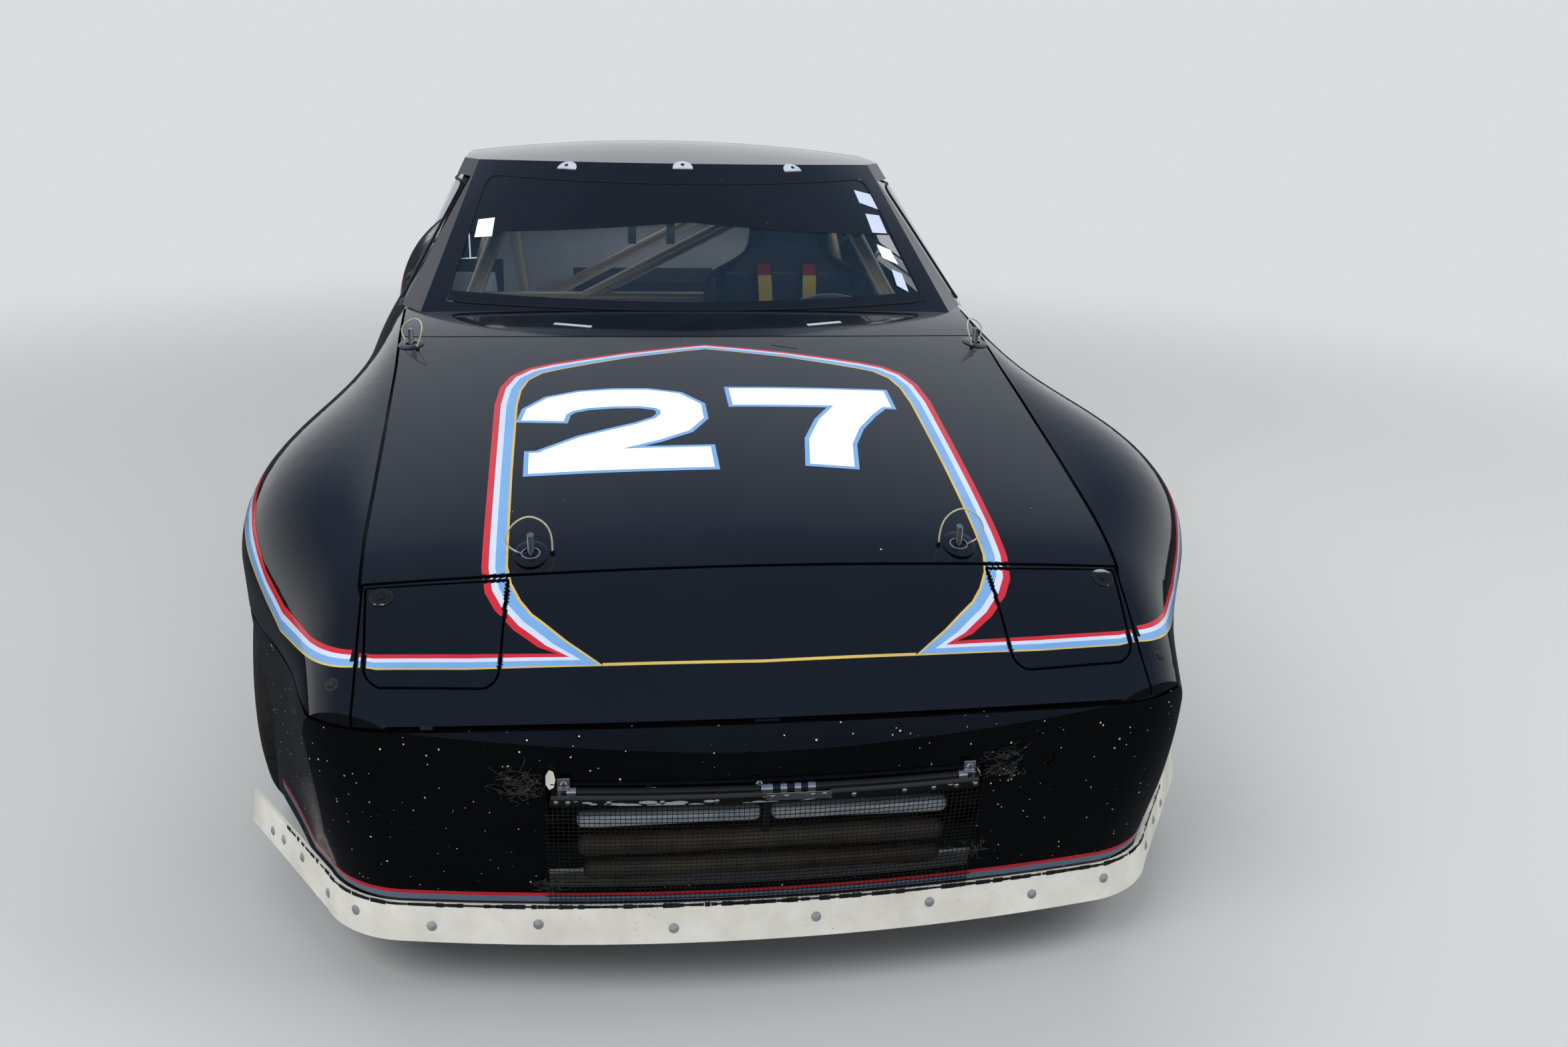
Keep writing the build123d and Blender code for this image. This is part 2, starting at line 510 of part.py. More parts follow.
hatch = hatch_shell & prism(hatch_plan, 700, 1400) & block(-700, 700, 500, hatch_y1, 800, 1300)
parts["hatch"] = hatch - prism(hatch_glass_plan, 700, 1400) + spoiler
glass_plan = extrude(Pos(0, 0, 700) * outline(hatch_glass_plan, -seat_gap), 700)
parts["hatch_glass"] = glass_shell & glass_plan

# Doors with their window panes
door_top_z = belt_z - 6
door_box = block(400, 1000, door_front_y, door_rear_y, 192, door_top_z)
door = (outer - hull(door_wall, foot_z - 60)) & door_box
door = door - edge_prism(-1000, rear_axle_y, -door_wall, 400, 1400)
door = door - prism([(600, door_rear_y + 1), (812, door_rear_y + 1), (740, door_rear_y - 24),
                     (600, door_rear_y - 24)], 0, 1000)
parts["door_l"] = door
parts["door_r"] = mirror(door, Plane.YZ)
pane_outline = [(-420, door_top_z + seat_gap), (-420, belt_z + 3), (-66, 1113), (543, 1101), (599, belt_z + 3),
                (599, door_top_z + seat_gap)]
pane = glass_shell & side_prism(pane_outline, 300, 1000)
parts["side_window_l"] = pane
parts["side_window_r"] = mirror(pane, Plane.YZ)

# Steering wheel, and the dash with its column
seat_x = 380
wheel_centre, wheel_tilt = Vector(370, -330, 704), 25
wheel_axis = (0, cos(radians(wheel_tilt)), sin(radians(wheel_tilt)))
wheel_plane = Plane(origin=wheel_centre, x_dir=(1, 0, 0), z_dir=wheel_axis)
wheel_ring, wheel_tube, wheel_hub = 165, 15, 10
spokes = [wheel_plane * Rot(0, 0, turn) * Pos(wheel_ring / 2, 0, 0) * Box(wheel_ring, 34, 5)
          for turn in (0, 180, 270)]
parts["steering_wheel"] = wheel_plane * (Torus(wheel_ring, wheel_tube) + Cylinder(40, 2 * wheel_hub)) + spokes
dash_front_y, dash_x, column_length = wall_y + floor_wall + seat_gap, 572, 270
dash = side_prism([(dash_front_y, 560), (-570, 560), (-520, 690), (-560, 806), (dash_front_y, 820)],
                  -dash_x, dash_x)
gauge_x, gauge_y, gauge_radius = -184, -545, 52
gauge_face = Pos(gauge_x, gauge_y, 790) * Rot(90, 0, 0)
gauge_pod = gauge_face * Cylinder(gauge_radius, 110, align=up)
gauge_dish = gauge_face * Cylinder(gauge_radius - 6, 12, align=up)
dash = dash + (gauge_pod & cabin(glass + 12)) - gauge_dish
column = wheel_plane * Pos(0, 0, -wheel_hub - seat_gap) * Cylinder(22, column_length, align=down)
parts["dash"] = dash + column

# Race seat: leaning back with shoulder and head wings, base with thigh wings, two rails
seat_back = side_prism([(395, 150), (455, 150), (575, 985), (515, 985)], seat_x - 300, seat_x + 300)
back_outline = [(-215, 140), (-235, 500), (-268, 640), (-268, 740), (-235, 790), (-140, 820), (-125, 860),
                (-118, 985), (118, 985), (125, 860), (140, 820), (235, 790), (268, 740), (268, 640),
                (235, 500), (215, 140)]
seat = seat_back & front_prism([(seat_x + x, z) for x, z in back_outline], 700, 300)
seat += side_prism([(-120, 180), (430, 150), (430, 225), (-120, 268)], seat_x - 225, seat_x + 225)
# Columns: inner and outer offset from the seat's middle, outline in (y, z)
seat_wings = [
    (185, 225, [(-110, 180), (430, 150), (480, 560), (300, 520), (240, 370), (-60, 330)]),
    (215, 262, [(340, 540), (470, 540), (512, 770), (440, 780), (370, 740)]),
    (92, 120, [(420, 850), (530, 850), (552, 975), (450, 975)]),
    (150, 180, [(-100, floor_top + seat_gap), (430, floor_top + seat_gap), (430, 170), (-100, 190)]),
]
for inner, outer_x, points in seat_wings:
    seat += side_prism(points, seat_x + inner, seat_x + outer_x)
    seat += side_prism(points, seat_x - outer_x, seat_x - inner)
parts["race_seat"] = seat

# Roll cage
tube = 20
hoop_y, hoop_x, hoop_top_x, hoop_top_z = 600, 590, 500, 1050
cage = pipe([(-hoop_x, hoop_y, floor_top), (-hoop_x, hoop_y, 680), (-hoop_top_x, hoop_y, hoop_top_z),
             (hoop_top_x, hoop_y, hoop_top_z), (hoop_x, hoop_y, 680), (hoop_x, hoop_y, floor_top)], tube, 70)
stay_foot = (445, cabin_tail_y - 380, raised_z + floor_wall)
for side in (-1, 1):
    cage += pipe([(side * 600, -540, floor_top), (side * 600, -540, 700), (side * 440, 0, 1075),
                  (side * (hoop_top_x - 40), hoop_y, hoop_top_z)], tube, 60)
    cage += rod((side * (hoop_top_x - 20), hoop_y, hoop_top_z), (side * stay_foot[0], stay_foot[1], 420), tube)
    cage += rod((side * stay_foot[0], stay_foot[1], 430), (side * stay_foot[0], *stay_foot[1:]), tube)
    cage += pipe([(side * 600, -540, 430), (side * 600, -420, 420), (side * 676, -250, 400),
                  (side * 676, 360, 370), (side * hoop_x, hoop_y, 340)], tube, 60)
cage += rod((-440, 10, 1075), (440, 10, 1075), tube)
cage += rod((-hoop_x + 5, hoop_y, 672), (hoop_x - 5, hoop_y, 672), tube)
cage += rod((-hoop_x + 4, hoop_y, 500), (hoop_top_x - 40, hoop_y, hoop_top_z - 10), tube)
cage += rod((-stay_foot[0], stay_foot[1] - 20, 500), (340, hoop_y, hoop_top_z), tube)
parts["roll_cage"] = cage
parts["fuel_cell"] = block(-280, 280, rear_wall_y - 420, rear_wall_y - 80, raised_z + floor_wall, 560)

# Engine, drive line and exhaust
beam_top_z = 160
engine_rear_y = -860
parts["engine_block"] = block(-200, 200, engine_rear_y - 700, engine_rear_y, beam_top_z + seat_gap, 660)
gearbox = block(-125, 125, rear_axle_y - 235, rear_axle_y + 195, 170, raised_z - seat_gap)
parts["drive_line"] = rod((0, engine_rear_y, 215), (0, rear_axle_y - 230, 215), 50) + gearbox
exhaust = pipe([(-92, engine_rear_y, 172), (-92, 720, 172), (pipe_x, 960, pipe_z - 12),
                (pipe_x, rear_axle_y + 250, pipe_z)], pipe_radius, 60)
exhaust += rod((pipe_x, rear_axle_y + 240, pipe_z), (pipe_x, rear_axle_y + 560, pipe_z), 72)
exhaust += rod((pipe_x, rear_axle_y + 550, pipe_z), (pipe_x, rear_y - 12, pipe_z), pipe_radius)
hanger_y = rear_axle_y + 300
exhaust += block(pipe_x - 8, pipe_x + 8, hanger_y, hanger_y + 40, pipe_z + 60, raised_z - seat_gap)
parts["exhaust"] = exhaust

# Wheels
tyre_front = dict(radius=300, width=255, x=762)
tyre_rear = dict(radius=312, width=285, x=735)
rim_radius, spindle = 205, 25


def tyre_shape(radius, width):
    half, bead = width / 2, rim_radius + 0.3
    foot, seat_edge, shoulder = bead + 17, half - 20.3, radius - 22
    edges = Polyline((foot, -half + 6), (bead + 14.5, -seat_edge), (bead, -seat_edge), (bead, seat_edge),
                     (bead + 14.5, seat_edge), (foot, half - 6)).edges()
    edges.append(Line((radius, half - 32), (radius, -half + 32)).edge())
    for way in (1, -1):
        wall = ThreePointArc((foot, way * (half - 6)), (bead + 48, way * half), (shoulder, way * (half - 5)))
        corner = ThreePointArc((shoulder, way * (half - 5)), (radius - 5, way * (half - 14)),
                               (radius, way * (half - 32)))
        edges += [wall.edge(), corner.edge()]
    return revolve(Plane.XZ * make_face(edges), Axis.Z)


def rim_shape(width):
    half = width / 2 - 14
    profile = [(rim_radius, -half + 6), (rim_radius, half - 6), (rim_radius + 14, half - 6),
               (rim_radius + 14, half), (rim_radius - 10, half), (rim_radius - 10, -half),
               (rim_radius + 14, -half), (rim_radius + 14, -half + 6)]
    barrel = revolve(Plane.XZ * make_face(Polyline(*profile, close=True)), Axis.Z)
    face_z = half - 40
    disc = Pos(0, 0, face_z) * Cylinder(rim_radius - 9, 14)
    hub = Pos(0, 0, face_z - 20) * Cylinder(60, 60)
    windows = Pos(0, 0, face_z) * PolarLocations(130, 5) * Cylinder(38, 60)
    return (barrel + disc + hub) - windows - Cylinder(spindle + 0.05, 600)


for end, axle_y, size in (("f", front_axle_y, tyre_front), ("r", rear_axle_y, tyre_rear)):
    at = Pos(size["x"], axle_y, size["radius"]) * Rot(0, 90, 0)
    for side, name in ((1, "l"), (-1, "r")):
        tyre = at * tyre_shape(size["radius"], size["width"])
        rim = at * rim_shape(size["width"])
        parts["tyre_" + end + name] = tyre if side > 0 else mirror(tyre, Plane.YZ)
        parts["rim_" + end + name] = rim if side > 0 else mirror(rim, Plane.YZ)

# Front knuckles turn about the line from the lower joint to the strut's top
king_length = (king_high - king_low).length
knuckle = king * Pos(0, 0, 6) * Cylinder(20, 470, align=up)
knuckle = knuckle + king * Pos(0, 0, 476) * Cylinder(45, 84, align=up)
knuckle = knuckle + king * Pos(0, 0, -16) * Cylinder(pivot, 24, align=up)
knuckle = knuckle + king * Pos(0, 0, king_length - 60) * Cylinder(pivot, 36, align=up)
knuckle = knuckle + rod((650, front_axle_y, 300), (800, front_axle_y, 300), spindle)
knuckle = knuckle + rod((634, front_axle_y, 300), (700, front_axle_y, 300), 55)
parts["knuckle_l"] = knuckle
parts["knuckle_r"] = mirror(knuckle, Plane.YZ)
arm_end = king * Pos(0, 0, -14) * (Cylinder(26, 12, align=up) - Cylinder(pivot_hole, 12, align=up))
arm = rod((400, front_axle_y, 148), (664, front_axle_y, 142), 10) + arm_end
beam = block(-410, 410, front_axle_y - 45, front_axle_y + 45, floor_top, beam_top_z)
parts["front_suspension"] = beam + both(arm)
stub = rod((540, rear_axle_y, tyre_rear["radius"]), (780, rear_axle_y, tyre_rear["radius"]), spindle)
trail = block(500, 548, 700, rear_axle_y + 40, 270, 340)
shaft = rod((126, rear_axle_y, 300), (545, rear_axle_y, tyre_rear["radius"]), 22)
cross_y, cross_z = 720, 300
cross = along_x(30, -548, 548, cross_y, cross_z)
ear = block(470, 490, cross_y - 20, cross_y + 20, cross_z, raised_z - seat_gap)
parts["rear_suspension"] = cross + both(stub) + both(trail) + both(shaft) + both(ear)

if __name__ == "__main__":
    for name, shape in parts.items():
        shape.label = name
        export_step(shape, f"parts/{name}.step")
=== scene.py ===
# Race car: gloss black bodywork with four-colour stripes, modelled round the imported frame.
# Metres. The nose points to -Y, +Z is up and the driver's side is +X.
import json
import math
import random

import bmesh
import bpy
from mathutils import Matrix, Vector
from mathutils.bvhtree import BVHTree


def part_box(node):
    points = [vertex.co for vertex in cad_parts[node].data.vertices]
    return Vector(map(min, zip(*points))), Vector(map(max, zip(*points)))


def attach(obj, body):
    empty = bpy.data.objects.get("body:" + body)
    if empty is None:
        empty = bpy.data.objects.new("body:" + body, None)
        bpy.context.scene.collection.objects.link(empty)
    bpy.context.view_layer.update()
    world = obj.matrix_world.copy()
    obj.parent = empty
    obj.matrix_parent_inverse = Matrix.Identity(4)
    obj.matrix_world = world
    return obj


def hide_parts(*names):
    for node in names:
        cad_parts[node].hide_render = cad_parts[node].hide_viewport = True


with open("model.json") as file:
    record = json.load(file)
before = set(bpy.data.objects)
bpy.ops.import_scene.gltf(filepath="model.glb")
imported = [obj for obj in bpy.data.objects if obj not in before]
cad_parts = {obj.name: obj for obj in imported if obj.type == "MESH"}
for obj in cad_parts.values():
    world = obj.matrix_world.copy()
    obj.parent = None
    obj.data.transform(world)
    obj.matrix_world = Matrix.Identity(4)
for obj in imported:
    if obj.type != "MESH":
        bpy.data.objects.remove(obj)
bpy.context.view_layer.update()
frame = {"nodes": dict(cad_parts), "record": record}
nodes = frame["nodes"]
bpy.ops.object.select_all(action="DESELECT")
mm = 0.001
random.seed(27)
bodyOf = {name: body for body, members in frame["record"]["behaviour"]["bodies"].items() for name in members}
print("frame loaded with", len(nodes), "nodes")


# Materials
def colour(code):
    # sRGB hex to the linear values that shaders take
    parts = [int(code[i:i + 2], 16) / 255 for i in (0, 2, 4)]
    return [p / 12.92 if p <= 0.04045 else ((p + 0.055) / 1.055) ** 2.4 for p in parts] + [1]


def addNode(material, kind, settings, inputs):
    node = material.node_tree.nodes.new(kind)
    for name, value in settings.items():
        if name == "stops":
            while len(node.color_ramp.elements) < len(value):
                node.color_ramp.elements.new(0.5)
            for stop, (place, code) in zip(node.color_ramp.elements, value):
                stop.position = place
                stop.color = colour(code)
        else:
            setattr(node, name, value)
    for name, value in inputs.items():
        if isinstance(value, bpy.types.NodeSocket):
            material.node_tree.links.new(value, node.inputs[name])
        else:
            node.inputs[name].default_value = value
    return node


def grained(scale, height, kind="ShaderNodeTexNoise", **more):
    # Grain of a finish: its scale and the height of its bumps in metres
    return {"kind": kind, "scale": scale, "height": height, **more}


def ribbed(scale, height, direction="X"):
    # Grain of even ribs or threads that follow each other in one direction
    return grained(scale, height, "ShaderNodeTexWave", settings={"bands_direction": direction})


def chipped(scale, patches, start, stop, size, code):
    # Chips in patches: they show where the patches' noise lies between start and stop
    return {"scale": scale, "patches": patches, "from": start, "to": stop, "size": size, "colour": code}


def makeFinish(name, look):
    # Two tones drift into each other, roughness varies with wear, fine grain is a bump,
    # and chips show what lies under the finish
    material = bpy.data.materials.new(name)
    material.use_nodes = True
    material.node_tree.nodes.clear()
    place = addNode(material, "ShaderNodeTexCoord", {}, {}).outputs["Object"]
    if "stretch" in look:
        place = addNode(material, "ShaderNodeMapping", {}, {
            "Vector": place, "Scale": look["stretch"]}).outputs[0]
    drift = addNode(material, "ShaderNodeTexNoise", {}, {
        "Vector": place, "Scale": look.get("driftScale", 6), "Detail": 5, "Roughness": 0.6})
    tone = addNode(material, "ShaderNodeValToRGB", {
        "stops": [(0.3, look["tones"][0]), (0.7, look["tones"][1])]}, {"Fac": drift.outputs[0]}).outputs[0]
    rough = addNode(material, "ShaderNodeMapRange", {}, {
        "Value": drift.outputs[0], "From Min": 0.3, "From Max": 0.7,
        "To Min": look["roughness"][0], "To Max": look["roughness"][1]}).outputs[0]
    if "chips" in look:
        chips = look["chips"]
        cells = addNode(material, "ShaderNodeTexVoronoi", {}, {"Vector": place, "Scale": chips["scale"]})
        patches = addNode(material, "ShaderNodeTexNoise", {}, {
            "Vector": place, "Scale": chips["patches"], "Detail": 3})
        limit = addNode(material, "ShaderNodeMapRange", {}, {
            "Value": patches.outputs[0], "From Min": chips["from"], "From Max": chips["to"],
            "To Min": 0, "To Max": chips["size"]})
        near = addNode(material, "ShaderNodeMath", {"operation": "LESS_THAN"}, {
            0: cells.outputs["Distance"], 1: limit.outputs[0]}).outputs[0]
        mixed = addNode(material, "ShaderNodeMix", {"data_type": "RGBA"}, {
            0: near, 6: tone, 7: colour(chips["colour"])})
        tone = mixed.outputs[2]
        rough = addNode(material, "ShaderNodeMath", {"operation": "MAXIMUM"}, {
            0: rough, 1: addNode(material, "ShaderNodeMath", {"operation": "MULTIPLY"}, {
                0: near, 1: 0.6}).outputs[0]}).outputs[0]
    grain = look.get("grain", grained(300, 0.00002))
    texture = addNode(material, grain["kind"], grain.get("settings", {}), {
        "Vector": place, "Scale": grain["scale"]})
    height = texture.outputs[grain.get("output", 0)]
    if "across" in grain:
        second = addNode(material, grain["kind"], grain["across"], {"Vector": place, "Scale": grain["scale"]})
        height = addNode(material, "ShaderNodeMath", {"operation": "MAXIMUM"}, {
            0: height, 1: second.outputs[0]}).outputs[0]
    bump = addNode(material, "ShaderNodeBump", {}, {
        "Height": height, "Distance": grain["height"], "Strength": grain.get("strength", 0.6)})
    shader = addNode(material, "ShaderNodeBsdfPrincipled", {}, {
        "Base Color": tone, "Roughness": rough, "Normal": bump.outputs[0], **look.get("shader", {})})
    addNode(material, "ShaderNodeOutputMaterial", {}, {"Surface": shader.outputs[0]})
    return material


ribs = ribbed(160, 0.0005, "Z")
fluted = ribbed(60, 0.001)
orangePeel = grained(90, 0.00004, strength=0.25)
sprayed = grained(400, 0.00006)
looks = {
    # Two-pack black enamel, sprayed: mirror gloss, faint orange peel, stone chips to the filler
    "blackEnamel": {"tones": ("040508", "07080C"), "roughness": (0.05, 0.11), "grain": orangePeel,
                    "chips": chipped(40, 27, 0.60, 0.9, 0.14, "B9B3A6"),
                    "shader": {"Coat Weight": 0.25, "Coat Roughness": 0.03}},
    # The same enamel low on the nose, where the road has peppered it
    "chippedEnamel": {"tones": ("030304", "050507"), "roughness": (0.10, 0.22), "grain": orangePeel,
                      "chips": chipped(84, 38, 0.42, 0.85, 0.25, "C4BBAC"),
                      "shader": {"Specular IOR Level": 0.35}},
    # Cut vinyl film, calendered: even colour with a soft gloss
    "redVinyl": {"tones": ("B81D28", "C2252F"), "roughness": (0.2, 0.3), "shader": {"Coat Weight": 0.3}},
    "paleVinyl": {"tones": ("BCC6DE", "C7D0E4"), "roughness": (0.2, 0.3), "shader": {"Coat Weight": 0.3}},
    "blueVinyl": {"tones": ("6796C8", "74A2D2"), "roughness": (0.2, 0.3), "shader": {"Coat Weight": 0.3}},
    "goldVinyl": {"tones": ("BE9F58", "CDB25A"), "roughness": (0.25, 0.35), "shader": {"Coat Weight": 0.3}},
    "greyBlueVinyl": {"tones": ("53637A", "61728A"), "roughness": (0.3, 0.45)},
    "whiteVinyl": {"tones": ("EEF1F6", "F6F8FB"), "roughness": (0.25, 0.35), "shader": {"Coat Weight": 0.2}},
    # Sheet polyethylene, hand cut: milky, scuffed, grey with road dirt
    "scuffedPolyethylene": {"tones": ("CFCBBF", "E6E3DA"), "driftScale": 14, "roughness": (0.35, 0.6),
                            "chips": chipped(80, 9, 0.45, 0.7, 0.12, "8E897E"),
                            "shader": {"Subsurface Weight": 0.08, "Subsurface Scale": 0.004}},
    # Small sheet clips in pale grey paint
    "greyPaint": {"tones": ("A9B2BE", "B6BEC9"), "roughness": (0.3, 0.45), "grain": sprayed},
    # Pop rivets in dull zinc
    "dullZinc": {"tones": ("8E9090", "ABADAC"), "driftScale": 60, "roughness": (0.35, 0.5),
                 "shader": {"Metallic": 0.35}},
    # Galvanised wire cloth, painted black and worn
    "paintedWire": {"tones": ("121212", "2E2D2B"), "driftScale": 40, "roughness": (0.4, 0.6),
                    "shader": {"Metallic": 0.4}},
    # The same wire where it is bent up and rubbed bright
    "frayedWire": {"tones": ("191918", "55524D"), "driftScale": 60, "roughness": (0.3, 0.5),
                   "shader": {"Metallic": 0.3}},
    # Steel tube in black paint, scuffed to the metal
    "scuffedBar": {"tones": ("0B0B0C", "141415"), "roughness": (0.3, 0.45), "grain": orangePeel,
                   "stretch": (0.22, 1, 1), "chips": chipped(170, 30, 0.44, 0.66, 0.7, "8E9195")},
    # Zinc-plated strip gone dull, silver lacquer, and the black core of a radiator, near-black partly as its
    # own colour and partly as painted shade of the dark space behind the screen
    "zincStrip": {"tones": ("6E7672", "8C938E"), "driftScale": 25, "roughness": (0.35, 0.5),
                  "shader": {"Metallic": 0.5}},
    "silverPaint": {"tones": ("9EA2A6", "B4B8BB"), "roughness": (0.2, 0.3), "grain": orangePeel,
                    "shader": {"Metallic": 0.5, "Coat Weight": 0.3}},
    "bayBlack": {"tones": ("111112", "1B1B1D"), "roughness": (0.4, 0.6), "grain": sprayed},
    "coreBlackAndShade": {"tones": ("0E0E0E", "171614"), "driftScale": 18, "roughness": (0.6, 0.8),
                  "grain": ribbed(150, 0.001)},
    # Cooler tubes in brushed aluminium, and the lower ones brown with road dust
    "coolerMetal": {"tones": ("A9B1B9", "C4CAD0"), "driftScale": 12, "roughness": (0.25, 0.4),
                    "shader": {"Metallic": 0.4}},
    "dustyMetal": {"tones": ("35302A", "5A5042"), "driftScale": 9, "roughness": (0.35, 0.55),
                   "shader": {"Metallic": 0.3}},
    # Rubber, vulcanised and dusty from the track
    "tyreRubber": {"tones": ("161616", "2A2724"), "driftScale": 9, "roughness": (0.7, 0.9),
                   "grain": grained(350, 0.0002)},
    # Extruded rubber round the panes
    "sealRubber": {"tones": ("0B0B0B", "151514"), "driftScale": 20, "roughness": (0.5, 0.65)},
    # Cast and painted aluminium wheel
    "wheelSilver": {"tones": ("A9ACB0", "BBBEC2"), "roughness": (0.28, 0.4),
                    "shader": {"Metallic": 0.85, "Coat Weight": 0.3}},
    # Cast iron and bare aluminium under the car
    "castAluminium": {"tones": ("6E7073", "86888B"), "roughness": (0.45, 0.6), "grain": sprayed,
                      "shader": {"Metallic": 0.8}},
    "roadSteel": {"tones": ("3F3E3D", "5A5652"), "driftScale": 12, "roughness": (0.4, 0.6),
                  "shader": {"Metallic": 0.9}},
    # Zinc-plated and polished fastener steel
    "brightSteel": {"tones": ("B5B6B8", "CFD0D1"), "driftScale": 60, "roughness": (0.15, 0.3),
                    "shader": {"Metallic": 1.0}},
    # Stripped cabin sheet metal, sprayed grey
    "greyCabinPaint": {"tones": ("AEB3B8", "C0C4C8"), "driftScale": 4, "roughness": (0.35, 0.5),
                       "grain": sprayed, "chips": chipped(30, 4, 0.5, 0.8, 0.06, "5B5A58")},
    # Cage tube in bronze metallic paint, its tones set lighter than the tube's own tan: painted light that
    # stands in for light the dim cabin does not get
    "brightenedBronzePaint": {"tones": ("A99A78", "BFB190"), "roughness": (0.25, 0.38), "grain": orangePeel,
                    "shader": {"Metallic": 0.55, "Coat Weight": 0.4}},
    # Injection-moulded black plastic with a leather grain
    "grainedPlastic": {"tones": ("0F0F10", "1A1A1B"), "roughness": (0.45, 0.6),
                       "grain": grained(420, 0.0002, "ShaderNodeTexVoronoi", strength=0.4)},
    # Glass-fibre seat shell in satin black gelcoat
    "gelcoatShell": {"tones": ("0C0C0D", "141415"), "roughness": (0.25, 0.35), "grain": orangePeel},
    # Flame-proof woven seat cloth, threads drawn 4 mm apart to show
    "seatCloth": {"tones": ("131316", "1E1E22"), "driftScale": 20, "roughness": (0.85, 0.95),
                  "grain": {**ribbed(80, 0.0008), "across": {"bands_direction": "Z"}},
                  "shader": {"Sheen Weight": 0.5}},
    # Polyester webbing, ribbed across its width
    "redWebbing": {"tones": ("8E1420", "A51B28"), "driftScale": 30, "roughness": (0.6, 0.75), "grain": ribs},
    "blackWebbing": {"tones": ("101012", "1B1B1E"), "driftScale": 30, "roughness": (0.6, 0.75),
                     "grain": ribs},
    "goldWebbing": {"tones": ("C9B445", "D8C352"), "driftScale": 30, "roughness": (0.55, 0.7), "grain": ribs},
    "suedeGrip": {"tones": ("0E0E0E", "1C1B1A"), "driftScale": 30, "roughness": (0.85, 0.95),
                  "grain": grained(900, 0.0002), "shader": {"Sheen Weight": 0.6}},
    # Wire rope in a yellowed clear sleeve
    "sleevedRope": {"tones": ("B7AE86", "D6CFB0"), "driftScale": 80, "roughness": (0.3, 0.4),
                    "grain": ribbed(320, 0.0006, "DIAGONAL")},
    # Moulded lamp lenses
    "redLens": {"tones": ("7E0A0C", "930F10"), "roughness": (0.08, 0.14),
                "grain": fluted, "shader": {"Coat Weight": 0.5, "Transmission Weight": 0.2}},
    "clearLens": {"tones": ("A8AAAA", "B8BABA"), "roughness": (0.08, 0.14),
                  "grain": fluted, "shader": {"Coat Weight": 0.5}},
    "amberLens": {"tones": ("C25A08", "D06A10"), "roughness": (0.08, 0.14),
                  "grain": fluted, "shader": {"Coat Weight": 0.5, "Transmission Weight": 0.2}},
}
finishes = {name: makeFinish(name, look) for name, look in looks.items()}


def makeGlazing(name, code, alpha, roughness):
    # Thin clear sheet: a faint tinted veil, which on the windshield is partly painted reflection of the sky,
    # and dust that shows as a slightly rougher bloom
    material = bpy.data.materials.new(name)
    material.use_nodes = True
    shader = material.node_tree.nodes["Principled BSDF"]
    place = addNode(material, "ShaderNodeTexCoord", {}, {}).outputs["Object"]
    dust = addNode(material, "ShaderNodeTexNoise", {}, {"Vector": place, "Scale": 7, "Detail": 6})
    rough = addNode(material, "ShaderNodeMapRange", {}, {
        "Value": dust.outputs[0], "From Min": 0.4, "From Max": 0.8, "To Min": 0.02, "To Max": roughness})
    material.node_tree.links.new(rough.outputs[0], shader.inputs["Roughness"])
    for socket, value in {"Base Color": colour(code), "Alpha": alpha, "Specular IOR Level": 1}.items():
        shader.inputs[socket].default_value = value
    return material


# The windshield's blue base colour is partly its tint and partly a painted reflection of the sky laid over
# the cabin
finishes["laminatedGlass"] = makeGlazing("laminatedGlass", "2A3F52", 0.16, 0.05)
finishes["polycarbonateSheet"] = makeGlazing("polycarbonateSheet", "3A4248", 0.14, 0.1)

dressing = {
    "blackEnamel": ["hood", "nose_panel", "headlamp_lids", "front_fender_l", "front_fender_r", "cowl",
                    "door_l", "door_r", "rear_quarter_l", "rear_quarter_r", "tail_panel",
                    "roof_and_pillars", "hatch", "side_sills", "rear_bumper"],
    "chippedEnamel": ["front_apron"],
    "scuffedPolyethylene": ["front_lip"],
    "paintedWire": ["grille_screen"],
    "coreBlackAndShade": ["radiator"],
    "castAluminium": ["engine_block"],
    "greyCabinPaint": ["floor_pan", "rear_structure"],
    "bayBlack": ["front_structure"],
    "roadSteel": ["drive_line", "front_suspension", "rear_suspension", "knuckle_l", "knuckle_r", "exhaust"],
    "brightSteel": ["hood_pins", "pin_clips"],
    "laminatedGlass": ["windshield"],
    "polycarbonateSheet": ["side_window_l", "side_window_r", "quarter_windows", "hatch_glass"],
    "brightenedBronzePaint": ["roll_cage"],
    "grainedPlastic": ["dash", "fuel_cell"],
    "gelcoatShell": ["race_seat"],
    "suedeGrip": ["steering_wheel"],
    "redLens": ["tail_lamps"],
    "wheelSilver": ["rim_fl", "rim_fr", "rim_rl", "rim_rr"],
    "tyreRubber": ["tyre_fl", "tyre_fr", "tyre_rl", "tyre_rr"],
}
for finish, names in dressing.items():
    for name in names:
        for slot in nodes[name].material_slots:
            slot.material = finishes[finish]
print("materials made")

# Camera at the photograph's viewing angle
cameraSettings = {"place": (-0.2925, -4.1169, 1.5406), "angles": (70.9613, -1.5687, -8.0123),
                  "lens": 33.743, "sensor": 36}
bpy.ops.object.camera_add(location=cameraSettings["place"],
                          rotation=[math.radians(a) for a in cameraSettings["angles"]])
camera = bpy.context.object
camera.data.lens = cameraSettings["lens"]
camera.data.sensor_width = cameraSettings["sensor"]
bpy.context.scene.camera = camera

